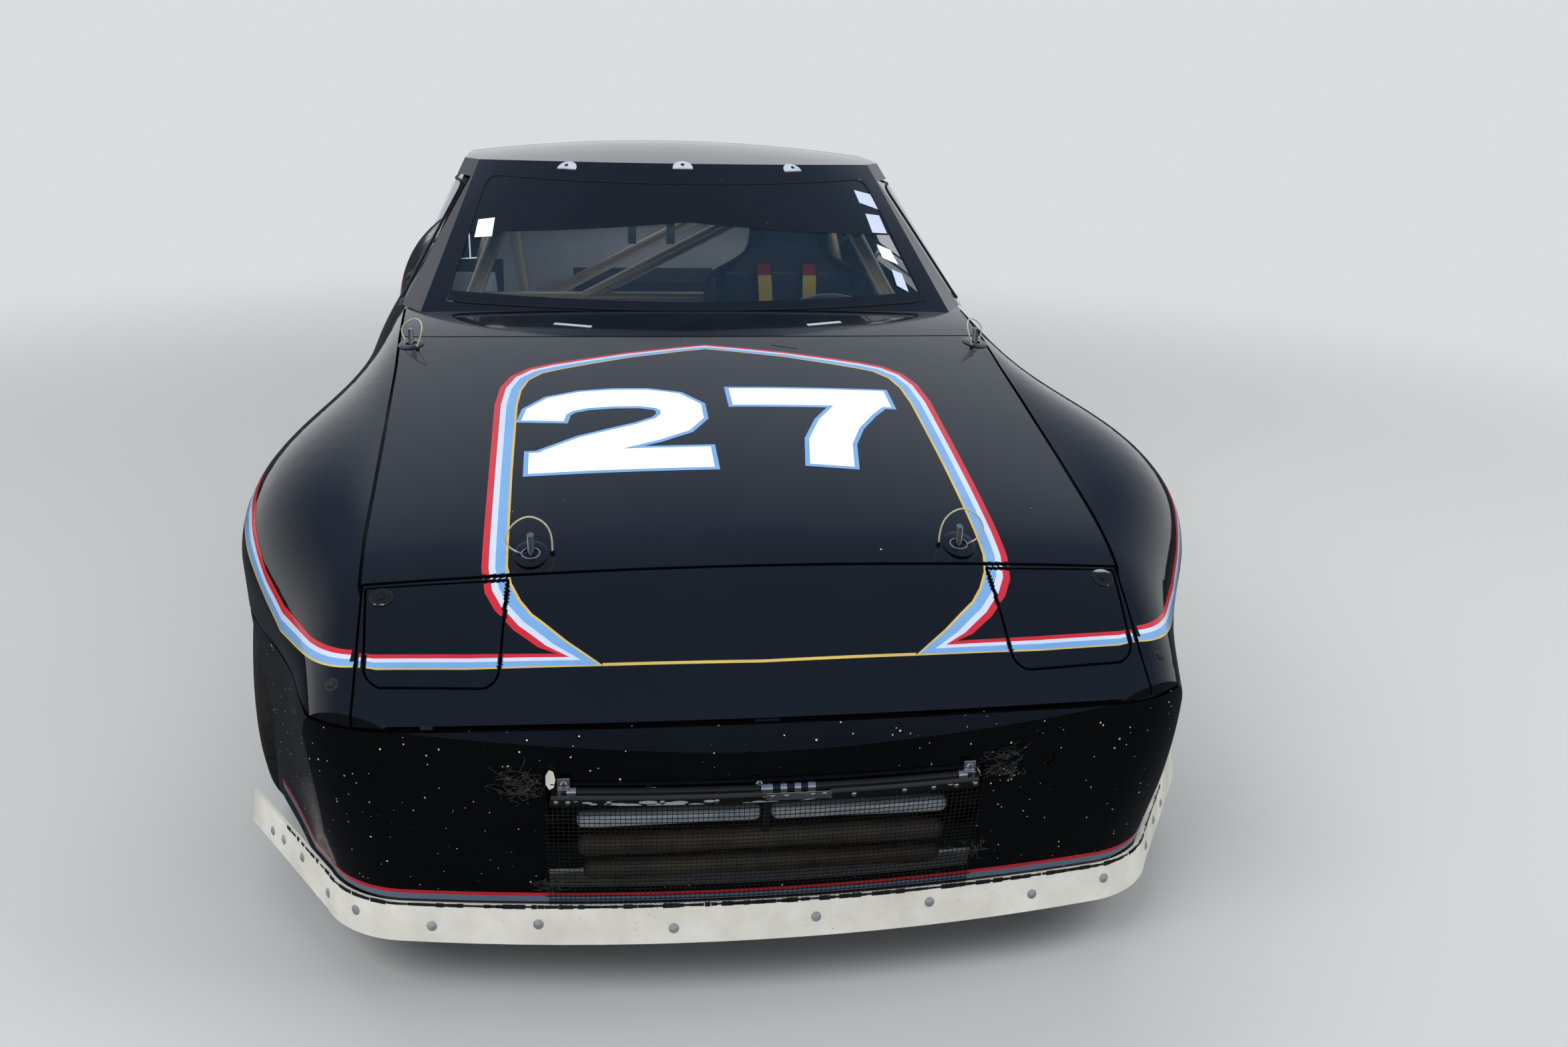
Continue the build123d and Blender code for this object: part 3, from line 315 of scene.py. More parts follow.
# Wire lanyards from an eye on the hood to the ring clip on each pin. A plane lies on the hood
# at each left pin: its origin in millimetres and its axes. Routes are (x, y, z) in that plane
pinPlanes = {
    "front": ((367, -1780, 680.379), (0.99941, 0, -0.03422), (0.01012, 0.95525, 0.29564),
              (0.03269, -0.29581, 0.95469)),
    "rear": ((646, -808, 826.712), (0.99556, 0, -0.09416), (0.0111, 0.99303, 0.11731),
             (0.0935, -0.11784, 0.98862)),
}
lanyards = {
    "front": {"length": 0.1736, "route": [(-36, 0, 5.5), (-38, 3, 30), (-28, 9, 57), (-2, 13, 71),
                                          (24, 10, 60), (42, 5, 34), (36, 2, 14), (22.5, 0, 6.5)]},
    "rear": {"length": 0.165, "route": [(-16, -34, 5.5), (-26, -34, 26), (-33, -22, 46), (-26, 2, 56),
                                        (-6, 24, 52), (20, 36, 32), (20.4, 27.2, 13), (13.5, 18, 6.5)]},
}
lanyardRadius = 1.5 * mm


def pinMatrix(end, side):
    # The plane of the left pin, or its mirror image for the right one
    origin, *axes = pinPlanes[end]
    matrix = Matrix(axes).transposed().to_4x4()
    matrix.translation = Vector(origin) * mm
    flip = Matrix.Diagonal((side, 1, 1, 1))
    return flip @ matrix @ flip


def wireCurve(name, points, radius, resolution=2, closed=False):
    # A round wire along points in metres, rounded between its ends
    curve = bpy.data.curves.new(name, "CURVE")
    curve.dimensions = "3D"
    curve.bevel_depth = radius
    curve.bevel_resolution = resolution
    curve.use_fill_caps = True
    curve.resolution_u = 8
    spline = curve.splines.new("NURBS")
    spline.points.add(len(points) - 1)
    for spot, point in zip(spline.points, points):
        spot.co = (*point, 1)
    spline.order_u = 3
    spline.use_cyclic_u = closed
    spline.use_endpoint_u = not closed
    piece = bpy.data.objects.new(name, curve)
    bpy.context.scene.collection.objects.link(piece)
    return piece


for end in ("front", "rear"):
    for side, letter in ((1, "l"), (-1, "r")):
        place = pinMatrix(end, side)
        route = [place @ (Vector((side * x, y, z)) * mm) for x, y, z in lanyards[end]["route"]]
        cordName = f"lanyard_{end}_{letter}"
        wire = wireCurve("Lanyard_wire_" + end + "_" + letter, route, lanyardRadius, 3)
        wire.data.materials.append(finishes["sleevedRope"])
        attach(wire, "hood")
        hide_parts(cordName)
print("lanyards laid")


# Modelling helpers
def at(x, y, z):
    return Matrix.Translation(Vector((x, y, z)) * mm)


def about(axis, degrees):
    return Matrix.Rotation(math.radians(degrees), 4, axis)


def shifted(piece, move):
    piece.data.transform(move)
    return piece


def settle(piece, name, finish, near, body=None):
    # Names a finished piece, gives it its material, and lets it ride with the body of a CAD node
    piece.name = name
    piece.data.name = name
    if finish:
        piece.data.materials.clear()
        piece.data.materials.append(finishes[finish])
    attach(piece, body or bodyOf[near])
    piece.select_set(False)
    return piece


def pick(*pieces):
    bpy.ops.object.select_all(action="DESELECT")
    for piece in pieces:
        piece.select_set(True)
    bpy.context.view_layer.objects.active = pieces[0]


def smoothEdges(piece, angle=35):
    pick(piece)
    bpy.ops.object.shade_smooth_by_angle(angle=math.radians(angle))


def meshPiece(shape):
    # A scene object that holds the shape
    bpy.ops.mesh.primitive_plane_add(size=0.01)
    piece = bpy.context.object
    shape.to_mesh(piece.data)
    shape.free()
    return piece


def turned(profile, steps=32):
    # Spins an outline of (radius, height) points in millimetres about Z
    shape = bmesh.new()
    chain = [shape.verts.new((radius * mm, 0, height * mm)) for radius, height in profile]
    for low, high in zip(chain, chain[1:]):
        shape.edges.new((low, high))
    piece = meshPiece(shape)
    bpy.ops.object.mode_set(mode="EDIT")
    bpy.ops.mesh.select_all(action="SELECT")
    bpy.ops.mesh.spin(steps=steps, angle=2 * math.pi, center=(0, 0, 0), axis=(0, 0, 1))
    bpy.ops.mesh.select_all(action="SELECT")
    bpy.ops.mesh.remove_doubles(threshold=0.00002)
    bpy.ops.mesh.normals_make_consistent(inside=False)
    bpy.ops.object.mode_set(mode="OBJECT")
    smoothEdges(piece)
    return piece


def roundedBox(size, bevel, segments=2):
    # A block in millimetres with rolled edges
    bpy.ops.mesh.primitive_cube_add(size=1)
    piece = bpy.context.object
    piece.data.transform(Matrix.Diagonal([side * mm for side in size] + [1]))
    bpy.ops.object.mode_set(mode="EDIT")
    bpy.ops.mesh.select_all(action="SELECT")
    bpy.ops.mesh.bevel(offset=bevel * mm, segments=segments, affect="EDGES")
    bpy.ops.object.mode_set(mode="OBJECT")
    smoothEdges(piece)
    return piece


def spread(piece, places):
    # Turns the piece into one mesh with a copy at each place
    shape = bmesh.new()
    for place in places:
        copy = piece.data.copy()
        copy.transform(place)
        shape.from_mesh(copy)
        bpy.data.meshes.remove(copy)
    shape.to_mesh(piece.data)
    shape.free()
    return piece


def tube(points, radius, closed=False, resolution=2):
    # A round wire or pipe along points in metres, as a mesh
    pick(wireCurve("tube", points, radius, resolution, closed))
    bpy.ops.object.convert(target="MESH")
    piece = bpy.context.object
    smoothEdges(piece, 60)
    return piece


def joined(pieces):
    # One object from several
    pick(*pieces)
    bpy.ops.object.join()
    return pieces[0]


trees = {}


def touch(names, start, way):
    # First point of the named CAD nodes that a line from start meets
    best = None
    for name in names:
        if name not in trees:
            mesh = nodes[name].data
            trees[name] = BVHTree.FromPolygons([v.co for v in mesh.vertices],
                                               [p.vertices[:] for p in mesh.polygons])
        point, normal, face, reach = trees[name].ray_cast(start, way)
        if point and (best is None or reach < best[0]):
            best = (reach, point, normal if normal.dot(way) < 0 else -normal, name)
    return best[1:] if best else None


def standing(point, normal):
    # Matrix of a piece that stands on a surface, its Z along the normal
    return Matrix.Translation(point) @ normal.to_track_quat("Z", "Y").to_matrix().to_4x4()


def seatOn(names, place, way=(0, 0, -1)):
    # The same for a place on the bodywork, met from 0.4 m off
    direction = Vector(way).normalized()
    point, normal, name = touch(names, Vector(place) * mm - direction * 0.4, direction)
    return standing(point, normal)


def gridPiece(lines, closed=False):
    # A skin over rows of points in metres
    shape = bmesh.new()
    made = [[shape.verts.new(point) for point in line] for line in lines]
    for low, high in zip(made, made[1:]):
        for i in range(len(low) if closed else len(low) - 1):
            j = (i + 1) % len(low)
            shape.faces.new((low[i], low[j], high[j], high[i]))
    if closed:
        shape.faces.new(made[0][::-1])
        shape.faces.new(made[-1])
    bmesh.ops.recalc_face_normals(shape, faces=shape.faces)
    return meshPiece(shape)


def modify(piece, kind, **settings):
    modifier = piece.modifiers.new(kind.lower(), kind)
    for name, value in settings.items():
        setattr(modifier, name, value)
    bpy.context.view_layer.objects.active = piece
    bpy.ops.object.modifier_apply(modifier=modifier.name)


print("helpers ready")

# Vinyl bands laid on the bodywork. Lengths here are in metres
filmPlan = {"thickness": 0.0002, "shortest": 0.0002, "longest": 0.09, "above": 2, "clear": 0.3,
            "axis": (-1.3, 1.5)}
skinNodes = ["hood", "nose_panel", "headlamp_lids", "front_fender_l", "front_fender_r", "door_l", "door_r",
             "rear_quarter_l", "rear_quarter_r"]


def castLine(guess, way):
    # Where a film cutter would press this point: from above, from outside or from the front
    if way == "down":
        return Vector((guess.x, guess.y, filmPlan["above"])), Vector((0, 0, -1))
    if way == "back":
        return guess - Vector((0, filmPlan["clear"], 0)), Vector((0, 1, 0))
    if way == "fore":
        return guess, Vector((0, -1, 0))
    # From outside toward the nearest point of the car's middle line
    foremost, rearmost = filmPlan["axis"]
    direction = Vector((-guess.x, max(foremost, min(rearmost, guess.y)) - guess.y, 0)).normalized()
    return guess - direction * filmPlan["clear"], direction


def finer(shares, films, count=5):
    # The same columns of film, each split for a cleaner cut at the panels' edges
    fine = [a + (b - a) * i / count for a, b in zip(shares, shares[1:]) for i in range(count)]
    return fine + [shares[-1]], [film for film in films for i in range(count)]


def plainFilm(film, count):
    # Columns of a band in one film
    return [i / count for i in range(count + 1)], [film] * count


def layBand(label, names, outer, inner, shares, films, way, lift=0.25, step=5):
    # A band between two rails of points in millimetres, cut where the panels end
    rows = []
    for a, b, c, d in zip(outer, outer[1:], inner, inner[1:]):
        a, b, c, d = [Vector(p) * mm for p in (a, b, c, d)]
        count = max(1, math.ceil(max((b - a).length, (d - c).length) / (step * mm)))
        # The end row is laid twice, which leaves a hairline of film on the panel where the band ends
        ends = b * 1000 == Vector(outer[-1])
        rows += [(a.lerp(b, i / count), c.lerp(d, i / count)) for i in range(count + ends)]
    rows.append((Vector(outer[-1]) * mm, Vector(inner[-1]) * mm))
    grid = [[touch(names, *castLine(left.lerp(right, share), way)) for share in shares]
            for left, right in rows]
    for node in names:
        shape = bmesh.new()
        spots = {}
        for r in range(len(grid) - 1):
            for c in range(len(shares) - 1):
                corners = [(r, c), (r, c + 1), (r + 1, c + 1), (r + 1, c)]
                hits = [grid[i][j] for i, j in corners]
                if not all(hits) or any(hit[2] != node for hit in hits):
                    continue
                span = max((hits[0][0] - hits[2][0]).length, (hits[1][0] - hits[3][0]).length)
                if not filmPlan["shortest"] <= span <= filmPlan["longest"]:
                    continue
                for spot, hit in zip(corners, hits):
                    if spot not in spots:
                        spots[spot] = shape.verts.new(hit[0] + hit[1] * lift * mm)
                face = shape.faces.new([spots[spot] for spot in corners])
                face.material_index = films[c]
                face.normal_update()
                if face.normal.dot(hits[0][1]) < 0:
                    face.normal_flip()
        if shape.faces:
            piece = meshPiece(shape)
            for film in filmNames:
                piece.data.materials.append(finishes[film])
            modify(piece, "SOLIDIFY", thickness=filmPlan["thickness"], offset=1)
            settle(piece, label + "_" + node, None, node)


filmNames = ["redVinyl", "paleVinyl", "blueVinyl", "goldVinyl", "greyBlueVinyl", "whiteVinyl", "blackEnamel",
             "amberLens", "clearLens"]
red, pale, blue, gold, greyBlue, white, black, amberFilm, clearFilm = range(9)
stripe = {
    "shares": (0, 0.27, 0.52, 0.90, 1), "films": (red, pale, blue, gold),
    # Outer and inner edge of the band from the point behind the numbers to the nose, then out
    "outer": [(0, -902, 0), (172, -944, 0), (338, -993, 0), (385, -1014, 0), (420, -1052, 0), (440, -1110, 0),
              (448, -1200, 0), (447, -1500, 0), (447, -1810, 0), (440, -1858, 0), (424, -1888, 0),
              (393, -1921, 0), (355, -1947, 0), (326, -1957, 0), (465, -1951, 0), (640, -1941, 0)],
    "inner": [(0, -931, 0), (166, -975, 0), (318, -1030, 0), (355, -1048, 0), (382, -1082, 0),
              (396, -1135, 0), (402, -1210, 0), (404, -1500, 0), (404, -1806, 0), (397, -1843, 0),
              (382, -1874, 0), (364, -1897, 0), (309, -1940, 0), (252, -1977, 0), (465, -1972, 0),
              (640, -1962, 0)],
    # Over the fender corner and back along the side
    "sideOuter": [(640, -1941, 584), (715, -1874, 583), (775, -1762, 592), (816, -1672, 618),
                  (843, -1584, 655), (858, -1509, 681), (880, -1380, 702), (890, -1265, 706),
                  (870, -1100, 698), (840, -900, 684), (830, -480, 672), (830, 640, 672),
                  (860, 1135, 690), (850, 1500, 682), (790, 1980, 660)],
    "sideInner": [(640, -1962, 566), (715, -1905, 559), (780, -1764, 548), (815, -1694, 572),
                  (840, -1610, 606), (856, -1520, 634), (880, -1380, 658), (890, -1265, 662),
                  (870, -1100, 654), (840, -900, 640), (830, -480, 628), (830, 640, 628),
                  (860, 1135, 646), (850, 1500, 638), (790, 1980, 616)],
}
for side, label in ((1, "l"), (-1, "r")):
    rails = [[(side * x, y, z) for x, y, z in stripe[key]]
             for key in ("outer", "inner", "sideOuter", "sideInner")]
    layBand("Stripes_top_" + label, ["hood", "nose_panel", "headlamp_lids", "front_fender_" + label],
            rails[0], rails[1], *finer(stripe["shares"], stripe["films"]), "down", step=3)
    layBand("Stripes_side_" + label, ["front_fender_" + label, "door_" + label, "rear_quarter_" + label],
            rails[2], rails[3], *finer(stripe["shares"], stripe["films"]), "side", step=6)
# Thin gold line across the nose
layBand("Nose_line", ["nose_panel"], [(-254, -1973, 0), (0, -1977, 0), (254, -1973, 0)],
        [(-254, -1977, 0), (0, -1981, 0), (254, -1977, 0)], (0, 1), (gold,), "down")

# Red and grey-blue lines round the apron
apronLine = {"shares": (0, 0.38, 1), "films": (red, greyBlue), "top": 197, "foot": 178,
             "plan": [(878, -1640), (800, -1730), (740, -1850), (690, -1940), (640, -1985), (560, -2015),
                      (300, -2045), (0, -2055)]}
linePlan = apronLine["plan"] + [(-x, y) for x, y in apronLine["plan"][-2::-1]]
layBand("Apron_line", ["front_apron"], [(x, y, apronLine["top"]) for x, y in linePlan],
        [(x, y, apronLine["foot"]) for x, y in linePlan], apronLine["shares"], apronLine["films"], "side",
        step=8)

# Two plain race numbers of straight and round strokes, white with a pale blue edge
numbers = {
    "halfStroke": 42, "edge": 9, "edgeLift": 0.3, "faceLift": 0.8, "lap": 0.05, "step": 12,
    # Centre lines as points (x, y): the tops of the figures point to the windshield
    "strokes": [
        [(-352, -1292), (-345, -1250), (-318, -1217), (-270, -1200), (-210, -1196), (-150, -1200),
         (-102, -1217), (-78, -1250), (-78, -1292), (-100, -1330), (-150, -1362), (-260, -1412),
         (-330, -1462)],
        [(-376, -1474), (-34, -1474)],
        [(28, -1200), (356, -1200)],
        [(306, -1214), (272, -1262), (232, -1330), (202, -1410), (188, -1512)],
    ],
}


def strokeRails(points, half):
    # The two edges of a stroke, square at its ends and mitred at its corners
    left, right = [], []
    for i, (x, y) in enumerate(points):
        before = Vector(points[max(0, i - 1)])
        after = Vector(points[min(len(points) - 1, i + 1)])
        here = Vector((x, y))
        ways = [way.normalized() for way in (here - before, after - here) if way.length > 0]
        along = sum(ways, Vector((0, 0))).normalized()
        across = Vector((-along.y, along.x))
        reach = half / max(0.5, abs(across.dot(Vector((-ways[0].y, ways[0].x)))))
        left.append((x - across.x * reach, y - across.y * reach, 0))
        right.append((x + across.x * reach, y + across.y * reach, 0))
    return left, right


def lengthened(points, extra):
    # Carries both ends of a stroke on by a little, for its edge
    first, second, last, other = [Vector(points[i]) for i in (0, 1, -1, -2)]
    head = first + (first - second).normalized() * extra
    tail = last + (last - other).normalized() * extra
    return [tuple(head)] + points[1:-1] + [tuple(tail)]


for index, stroke in enumerate(numbers["strokes"]):
    # Each stroke laps a little over the one before
    lap = numbers["lap"] * index
    wide = strokeRails(lengthened(stroke, numbers["edge"]), numbers["halfStroke"] + numbers["edge"])
    layBand(f"Number_edge_{index}", ["hood"], *wide, *plainFilm(blue, 8), "down",
            numbers["edgeLift"] + lap, numbers["step"])
    narrow = strokeRails(stroke, numbers["halfStroke"])
    layBand(f"Number_face_{index}", ["hood"], *narrow, *plainFilm(white, 8), "down",
            numbers["faceLift"] + lap, numbers["step"])
print("bands and numbers laid")

# Black sun strip across the top of the windshield, a dark band at its foot and blank stickers
layBand("Sun_strip", ["windshield"],
        [(-499, -350, 1127), (0, -350, 1127), (499, -350, 1127)],
        [(-542, -350, 1006), (0, -420, 1047), (542, -350, 1006)], *plainFilm(black, 24), "back", 0.3, 8)
layBand("Foot_band", ["windshield"],
        [(-582, -700, 892), (0, -760, 888), (582, -700, 892)],
        [(-588, -700, 873), (0, -760, 873), (588, -700, 873)], *plainFilm(black, 6), "back", 0.3, 8)
# Columns: the film, then the corners (x, z) of the left edge and of the right one
stickers = [(white, (-528, 996), (-520, 1032), (-484, 1001), (-478, 1039)),
            (pale, (470, 1078), (462, 1106), (530, 1058), (516, 1092)),
            (pale, (488, 1014), (480, 1054), (530, 1010), (520, 1048)),
            (white, (500, 962), (492, 990), (540, 946), (528, 976)),
            (pale, (522, 906), (518, 938), (550, 892), (544, 928))]
for index, (film, lowLeft, highLeft, lowRight, highRight) in enumerate(stickers):
    edges = [[(x, -350, z) for x, z in pair] for pair in ((lowLeft, highLeft), (lowRight, highRight))]
    layBand(f"Blank_sticker_{index}", ["windshield"], *edges, *plainFilm(film, 8), "back", 0.9, 6)

# Rubber seals round the panes. Outlines in (x, z) seen from the front, (y, z) from the side and
# (x, y) from above
seals = {
    "windshield": {"way": "back", "nodes": ["windshield", "roof_and_pillars"], "radius": 2.5,
                   "outline": [(-590, 872), (590, 872), (500, 1128), (-500, 1128)]},
    "hatch": {"way": "down", "nodes": ["hatch_glass", "hatch"], "radius": 5,
              "outline": [(450, 620), (-450, 620), (-505, "tail"), (505, "tail")]},
    "side_l": {"way": "side", "side": 1, "nodes": ["side_window_l"], "radius": 3.5,
               "outline": [(-406, 855), (-72, 1107), (538, 1096), (590, 855)]},
    "quarter_l": {"way": "side", "side": 1, "nodes": ["quarter_windows"], "radius": 3.5,
                  "outline": [(643, 885), (622, 1079), (930, 995), (1170, 904), (1148, 885)]},
}
for name in ("side", "quarter"):
    seals[name + "_r"] = dict(seals[name + "_l"], side=-1,
                              nodes=[node.replace("_l", "_r") for node in seals[name + "_l"]["nodes"]])


def sealSpot(plan, a, b):
    # Where the seal touches the bodywork at this place of its outline, met from outside the car
    a, b, side = a * mm, b * mm, plan.get("side", 1)
    start, direction = {"down": ((a, b, 2), (0, 0, -1)), "back": ((a, -1.6, b), (0, 1, 0)),
                        "side": ((side * 1.4, a, b), (-side, 0, 0))}[plan["way"]]
    return touch(plan["nodes"], Vector(start), Vector(direction))


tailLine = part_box("hatch_glass")[1][1] / mm
# Points stand this far apart in millimetres and start and end a share of a step off the corners
sealStep = {"length": 50, "first": 0.3, "spare": 0.4, "lift": 0.5}
for name, plan in seals.items():
    corners = [(a, tailLine if b == "tail" else b) for a, b in plan["outline"]]
    line = []
    for (a0, b0), (a1, b1) in zip(corners, corners[1:] + corners[:1]):
        count = max(3, round(math.hypot(a1 - a0, b1 - b0) / sealStep["length"]))
        for i in range(count):
            part = (i + sealStep["first"]) / (count - sealStep["spare"])
            hit = sealSpot(plan, a0 + (a1 - a0) * part, b0 + (b1 - b0) * part)
            if hit:
                line.append(hit[0] + hit[1] * sealStep["lift"] * mm)
    settle(tube(line, plan["radius"] * mm, closed=True), "Seal_" + name, "sealRubber", plan["nodes"][0])

# Black tape over a mend near the hood's rear edge
layBand("Hood_patch", ["hood"], [(150, -884, 0), (205, -898, 0)], [(152, -902, 0), (207, -922, 0)],
        (0, 0.5, 1), (black, black), "down", 0.6, 6)


# Fasteners on lids, fenders and roof edge
def fitted(name, finish, near, profile, steps, places, body=None):
    # A small turned part, copied to its places
    settle(spread(turned(profile, steps), places), name, finish, near, body)


fitted("Lid_fasteners", "scuffedBar", "nose_panel",
       [(0, 3.4), (6, 3.2), (6.4, 1.8), (11, 1.6), (12.5, 3.2), (17, 3.0), (19, 1.0), (19, -1), (0, -1)], 32,
       [seatOn(skinNodes, (x, y, 900)) for x, y in ((-604, -1853), (607, -1851))])
fitted("Fender_bolts", "roadSteel", "nose_panel",
       [(0, 5), (5, 5), (7, 3), (7, 1.5), (11, 1.2), (13, 0), (13, -2), (0, -2)], 6,
       [seatOn(skinNodes, (side * 670, -1978, 900)) for side in (-1, 1)])

clipPlaces = [(-296, -188), (0, -237), (294, -186)]
clip = turned([(0, 3), (22, 3), (26, 1), (26, -1), (0, -1)], 40)
bpy.ops.object.mode_set(mode="EDIT")
bpy.ops.mesh.select_all(action="SELECT")
bpy.ops.mesh.bisect(plane_co=(0, -0.004, 0), plane_no=(0, -1, 0), clear_outer=True, use_fill=True)
bpy.ops.object.mode_set(mode="OBJECT")
spread(clip, [seatOn(["roof_and_pillars"], (x, y - 4, 1400)) for x, y in clipPlaces])
settle(clip, "Windshield_clips_top", "greyPaint", "nose_panel")
fitted("Clip_screws", "roadSteel", "nose_panel", [(0, 4.6), (3, 4.4), (5, 3.2), (5, 2), (0, 2)], 16,
       [seatOn(["roof_and_pillars"], (x, y + 4, 1400)) for x, y in clipPlaces])
footClip = spread(roundedBox((92, 11, 3), 1),
                  [seatOn(["cowl"], (x, y, 1400)) for x, y in ((-289, -748), (298, -735))])
settle(footClip, "Windshield_clips_foot", "greyPaint", "nose_panel")
print("fasteners placed")

# Oval scuff plates round the pins' holes
scuffPlate = shifted(turned([(15, 0), (15, 1.6), (27, 1.6), (29, 0.8), (29, 0), (15, 0)], 48),
                     Matrix.Diagonal((1.0, 1.25, 1, 1)))
spread(scuffPlate, [pinMatrix(end, side) @ at(0, 0, 0.2) for end in ("front", "rear") for side in (1, -1)])
settle(scuffPlate, "Pin_scuff_plates", "blackEnamel", "hood")

# Rivets along the plastic lip, and ragged black patches on its top edge that paint the shade of the gap under
# the apron
lip = {"rivets": [(-905, -1700), (-860, -1740), (-800, -1810), (-728, -1905), (-670, -1970), (-547, -2021),
                  (-375, -2050), (-150, -2065), (90, -2068), (290, -2058), (477, -2033), (616, -2007),
                  (735, -1890), (790, -1820), (850, -1750)],
       "gapShadeHalf": 800, "gapShadePatches": 150, "gapShadeZ": 170.8}
# The row of rivets wanders a little in height, and each is met from just outside the lip
guesses = [Vector((x * 1.05, y * 1.03, 132 + (i * 7) % 16)) * mm for i, (x, y) in enumerate(lip["rivets"])]
fitted("Lip_rivets", "dullZinc", "front_lip",
       [(0, 3.4), (3, 3.1), (6, 1.8), (8.5, 0.4), (8.5, -1), (0, -1)], 20,
       [standing(*touch(["front_lip"], *castLine(guess, "side"))[:2]) for guess in guesses])
# Each black patch is painted shade in the ragged gap where the lip meets the apron
gapShade = []
for index in range(lip["gapShadePatches"]):
    across = lip["gapShadeHalf"] * (2 * index / (lip["gapShadePatches"] - 1) - 1)
    found = touch(["front_lip"], Vector((across, -2600, lip["gapShadeZ"])) * mm, Vector((0, 1, 0)))
    if found:
        patch = roundedBox((random.uniform(8, 20), 1.2, random.uniform(3, 9)), 0.4)
        turn = math.degrees(math.atan2(found[1].x, -found[1].y))
        gapShade.append(shifted(patch, Matrix.Translation(found[0]) @ at(0, -0.4, 0) @ about("Z", turn)))
settle(joined(gapShade), "Lip_gap_shade", "bayBlack", "front_lip")
print("lip dressed")

# Wire cloth over the intake, the flap bar above it and the cooler tubes behind
cloth = {"pitch": 8, "wire": 0.5, "top": 390, "foot": 166, "side": 344, "ahead": -2400, "noseLimit": -1980,
         "flap": {"top": 427, "foot": 393, "side": 338, "depth": 16, "fold": 424},
         "bar": {"radius": 6.5, "z": 413, "side": 322, "ahead": 8},
         "strip": {"z": 391, "side": 340, "rivets": (-330, -312, -250, -168, -84, 132, 214, 262, 300, 332)}}


def frontPoint(x, z, lift):
    # A point ahead of the nose at this x and height
    for reach in (0, 12, -12, 24, -24):
        start = Vector((x + reach, cloth["ahead"], z)) * mm
        hit = touch(["grille_screen", "front_apron"], start, Vector((0, 1, 0)))
        if hit and hit[0].y < cloth["noseLimit"] * mm:
            return Vector((x * mm, hit[0].y - lift * mm, z * mm))
    return None


def flatWire(shape, line, half, side):
    # A square wire along a line of points
    rings = []
    for point in line:
        rings.append([shape.verts.new(point + Vector((a * half * side[0], b * half, a * half * side[1])))
                      for a, b in ((-1, -1), (1, -1), (1, 1), (-1, 1))])
    for low, high in zip(rings, rings[1:]):
        for i in range(4):
            shape.faces.new((low[i], low[(i + 1) % 4], high[(i + 1) % 4], high[i]))
    if rings:
        shape.faces.new(rings[0][::-1])
        shape.faces.new(rings[-1])


shape = bmesh.new()
rowsX = list(range(-cloth["side"], cloth["side"] + 1, cloth["pitch"]))
rowsZ = list(range(cloth["foot"], cloth["top"] + 1, cloth["pitch"]))
for x in rowsX:
    # The lower ends hang loose over the lip, each cut at its own length
    loose = cloth["foot"] - random.uniform(0, 14)
    line = [frontPoint(x, z, 2.5) for z in [loose] + rowsZ[::3] + [cloth["top"]]]
    flatWire(shape, [point for point in line if point], cloth["wire"] * mm, (1, 0))
for z in rowsZ:
    reach = cloth["side"] + random.uniform(-6, 9)
    line = [frontPoint(x, z, 1.4) for x in [-reach] + rowsX[2:-2:3] + [reach]]
    flatWire(shape, [point for point in line if point], cloth["wire"] * mm, (0, 1))
bmesh.ops.recalc_face_normals(shape, faces=shape.faces)
screen = meshPiece(shape)
settle(screen, "Wire_cloth", "paintedWire", "grille_screen")

# Flap plate with rolled edges, its bar with clamps, and a riveted strip below
def onFront(x, z, lift):
    return Matrix.Translation(frontPoint(x, z, lift))


flap = cloth["flap"]
outline = [(flap["foot"], -1), (flap["foot"] + 3, 5), (flap["foot"] + 9, 1), (flap["top"] - 10, 2),
           (flap["top"] - 3, 7), (flap["top"], 0)]
loops = []
for x in [flap["side"] * i / 16 for i in range(-16, 17)]:
    spots = [(z, lift) for z, lift in outline] + [(z, -flap["depth"]) for z, lift in outline[::-1]]
    loops.append([frontPoint(x, min(z, flap["fold"]), lift) + Vector((0, 0, (z - min(z, flap["fold"])) * mm))
                  for z, lift in spots])
plate = gridPiece(loops, closed=True)
smoothEdges(plate, 40)
settle(plate, "Flap_plate", "blackEnamel", "grille_screen")
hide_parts("grille_screen")
bar = cloth["bar"]
barLine = [frontPoint(x, bar["z"], bar["ahead"]) for x in range(-bar["side"], bar["side"] + 1, 46)]
settle(tube(barLine, bar["radius"] * mm, resolution=4), "Flap_bar", "scuffedBar", "grille_screen")
clamps = []
for x, half in ((-8, 9), (18, 5), (40, 5), (62, 6), (-306, 7), (306, 7)):
    ends = [frontPoint(x + reach, bar["z"], bar["ahead"]) for reach in (-half, half)]
    clamps.append(tube(ends, (bar["radius"] + 2) * mm, resolution=4))
settle(joined(clamps), "Bar_clamps", "brightSteel", "grille_screen")
strip = cloth["strip"]
stripLines = []
for x in [strip["side"] * i / 16 for i in range(-16, 17)]:
    base = frontPoint(x, strip["z"], 3)
    stripLines.append([base + Vector((0, dy, dz)) * mm
                       for dy, dz in ((0, 5), (-1.6, 5), (-1.6, -5), (0, -5))])
settle(gridPiece(stripLines, closed=True), "Flap_strip", "scuffedBar", "grille_screen")
stripPlate = shifted(roundedBox((104, 2, 13), 0.6), onFront(44, 396, 6.5))
settle(stripPlate, "Strip_plate", "brightSteel", "grille_screen")
toFront = about("X", 90)
fitted("Strip_rivets", "brightSteel", "grille_screen",
       [(0, 2.6), (2.4, 2.3), (4, 1.2), (4.6, 0), (4.6, -1), (0, -1)], 12,
       [onFront(x, strip["z"], 4.4) @ toFront for x in strip["rivets"]]
       + [onFront(x, 397, 7.2) @ toFront for x in (2, 24, 66, 84)])
bracket = joined([roundedBox((19, 2.4, 34), 0.8), roundedBox((19, 14, 2.4), 0.8)])
spread(bracket, [onFront(x, 420, 10) for x in (-318, 318)])
settle(bracket, "Flap_brackets", "brightSteel", "grille_screen")
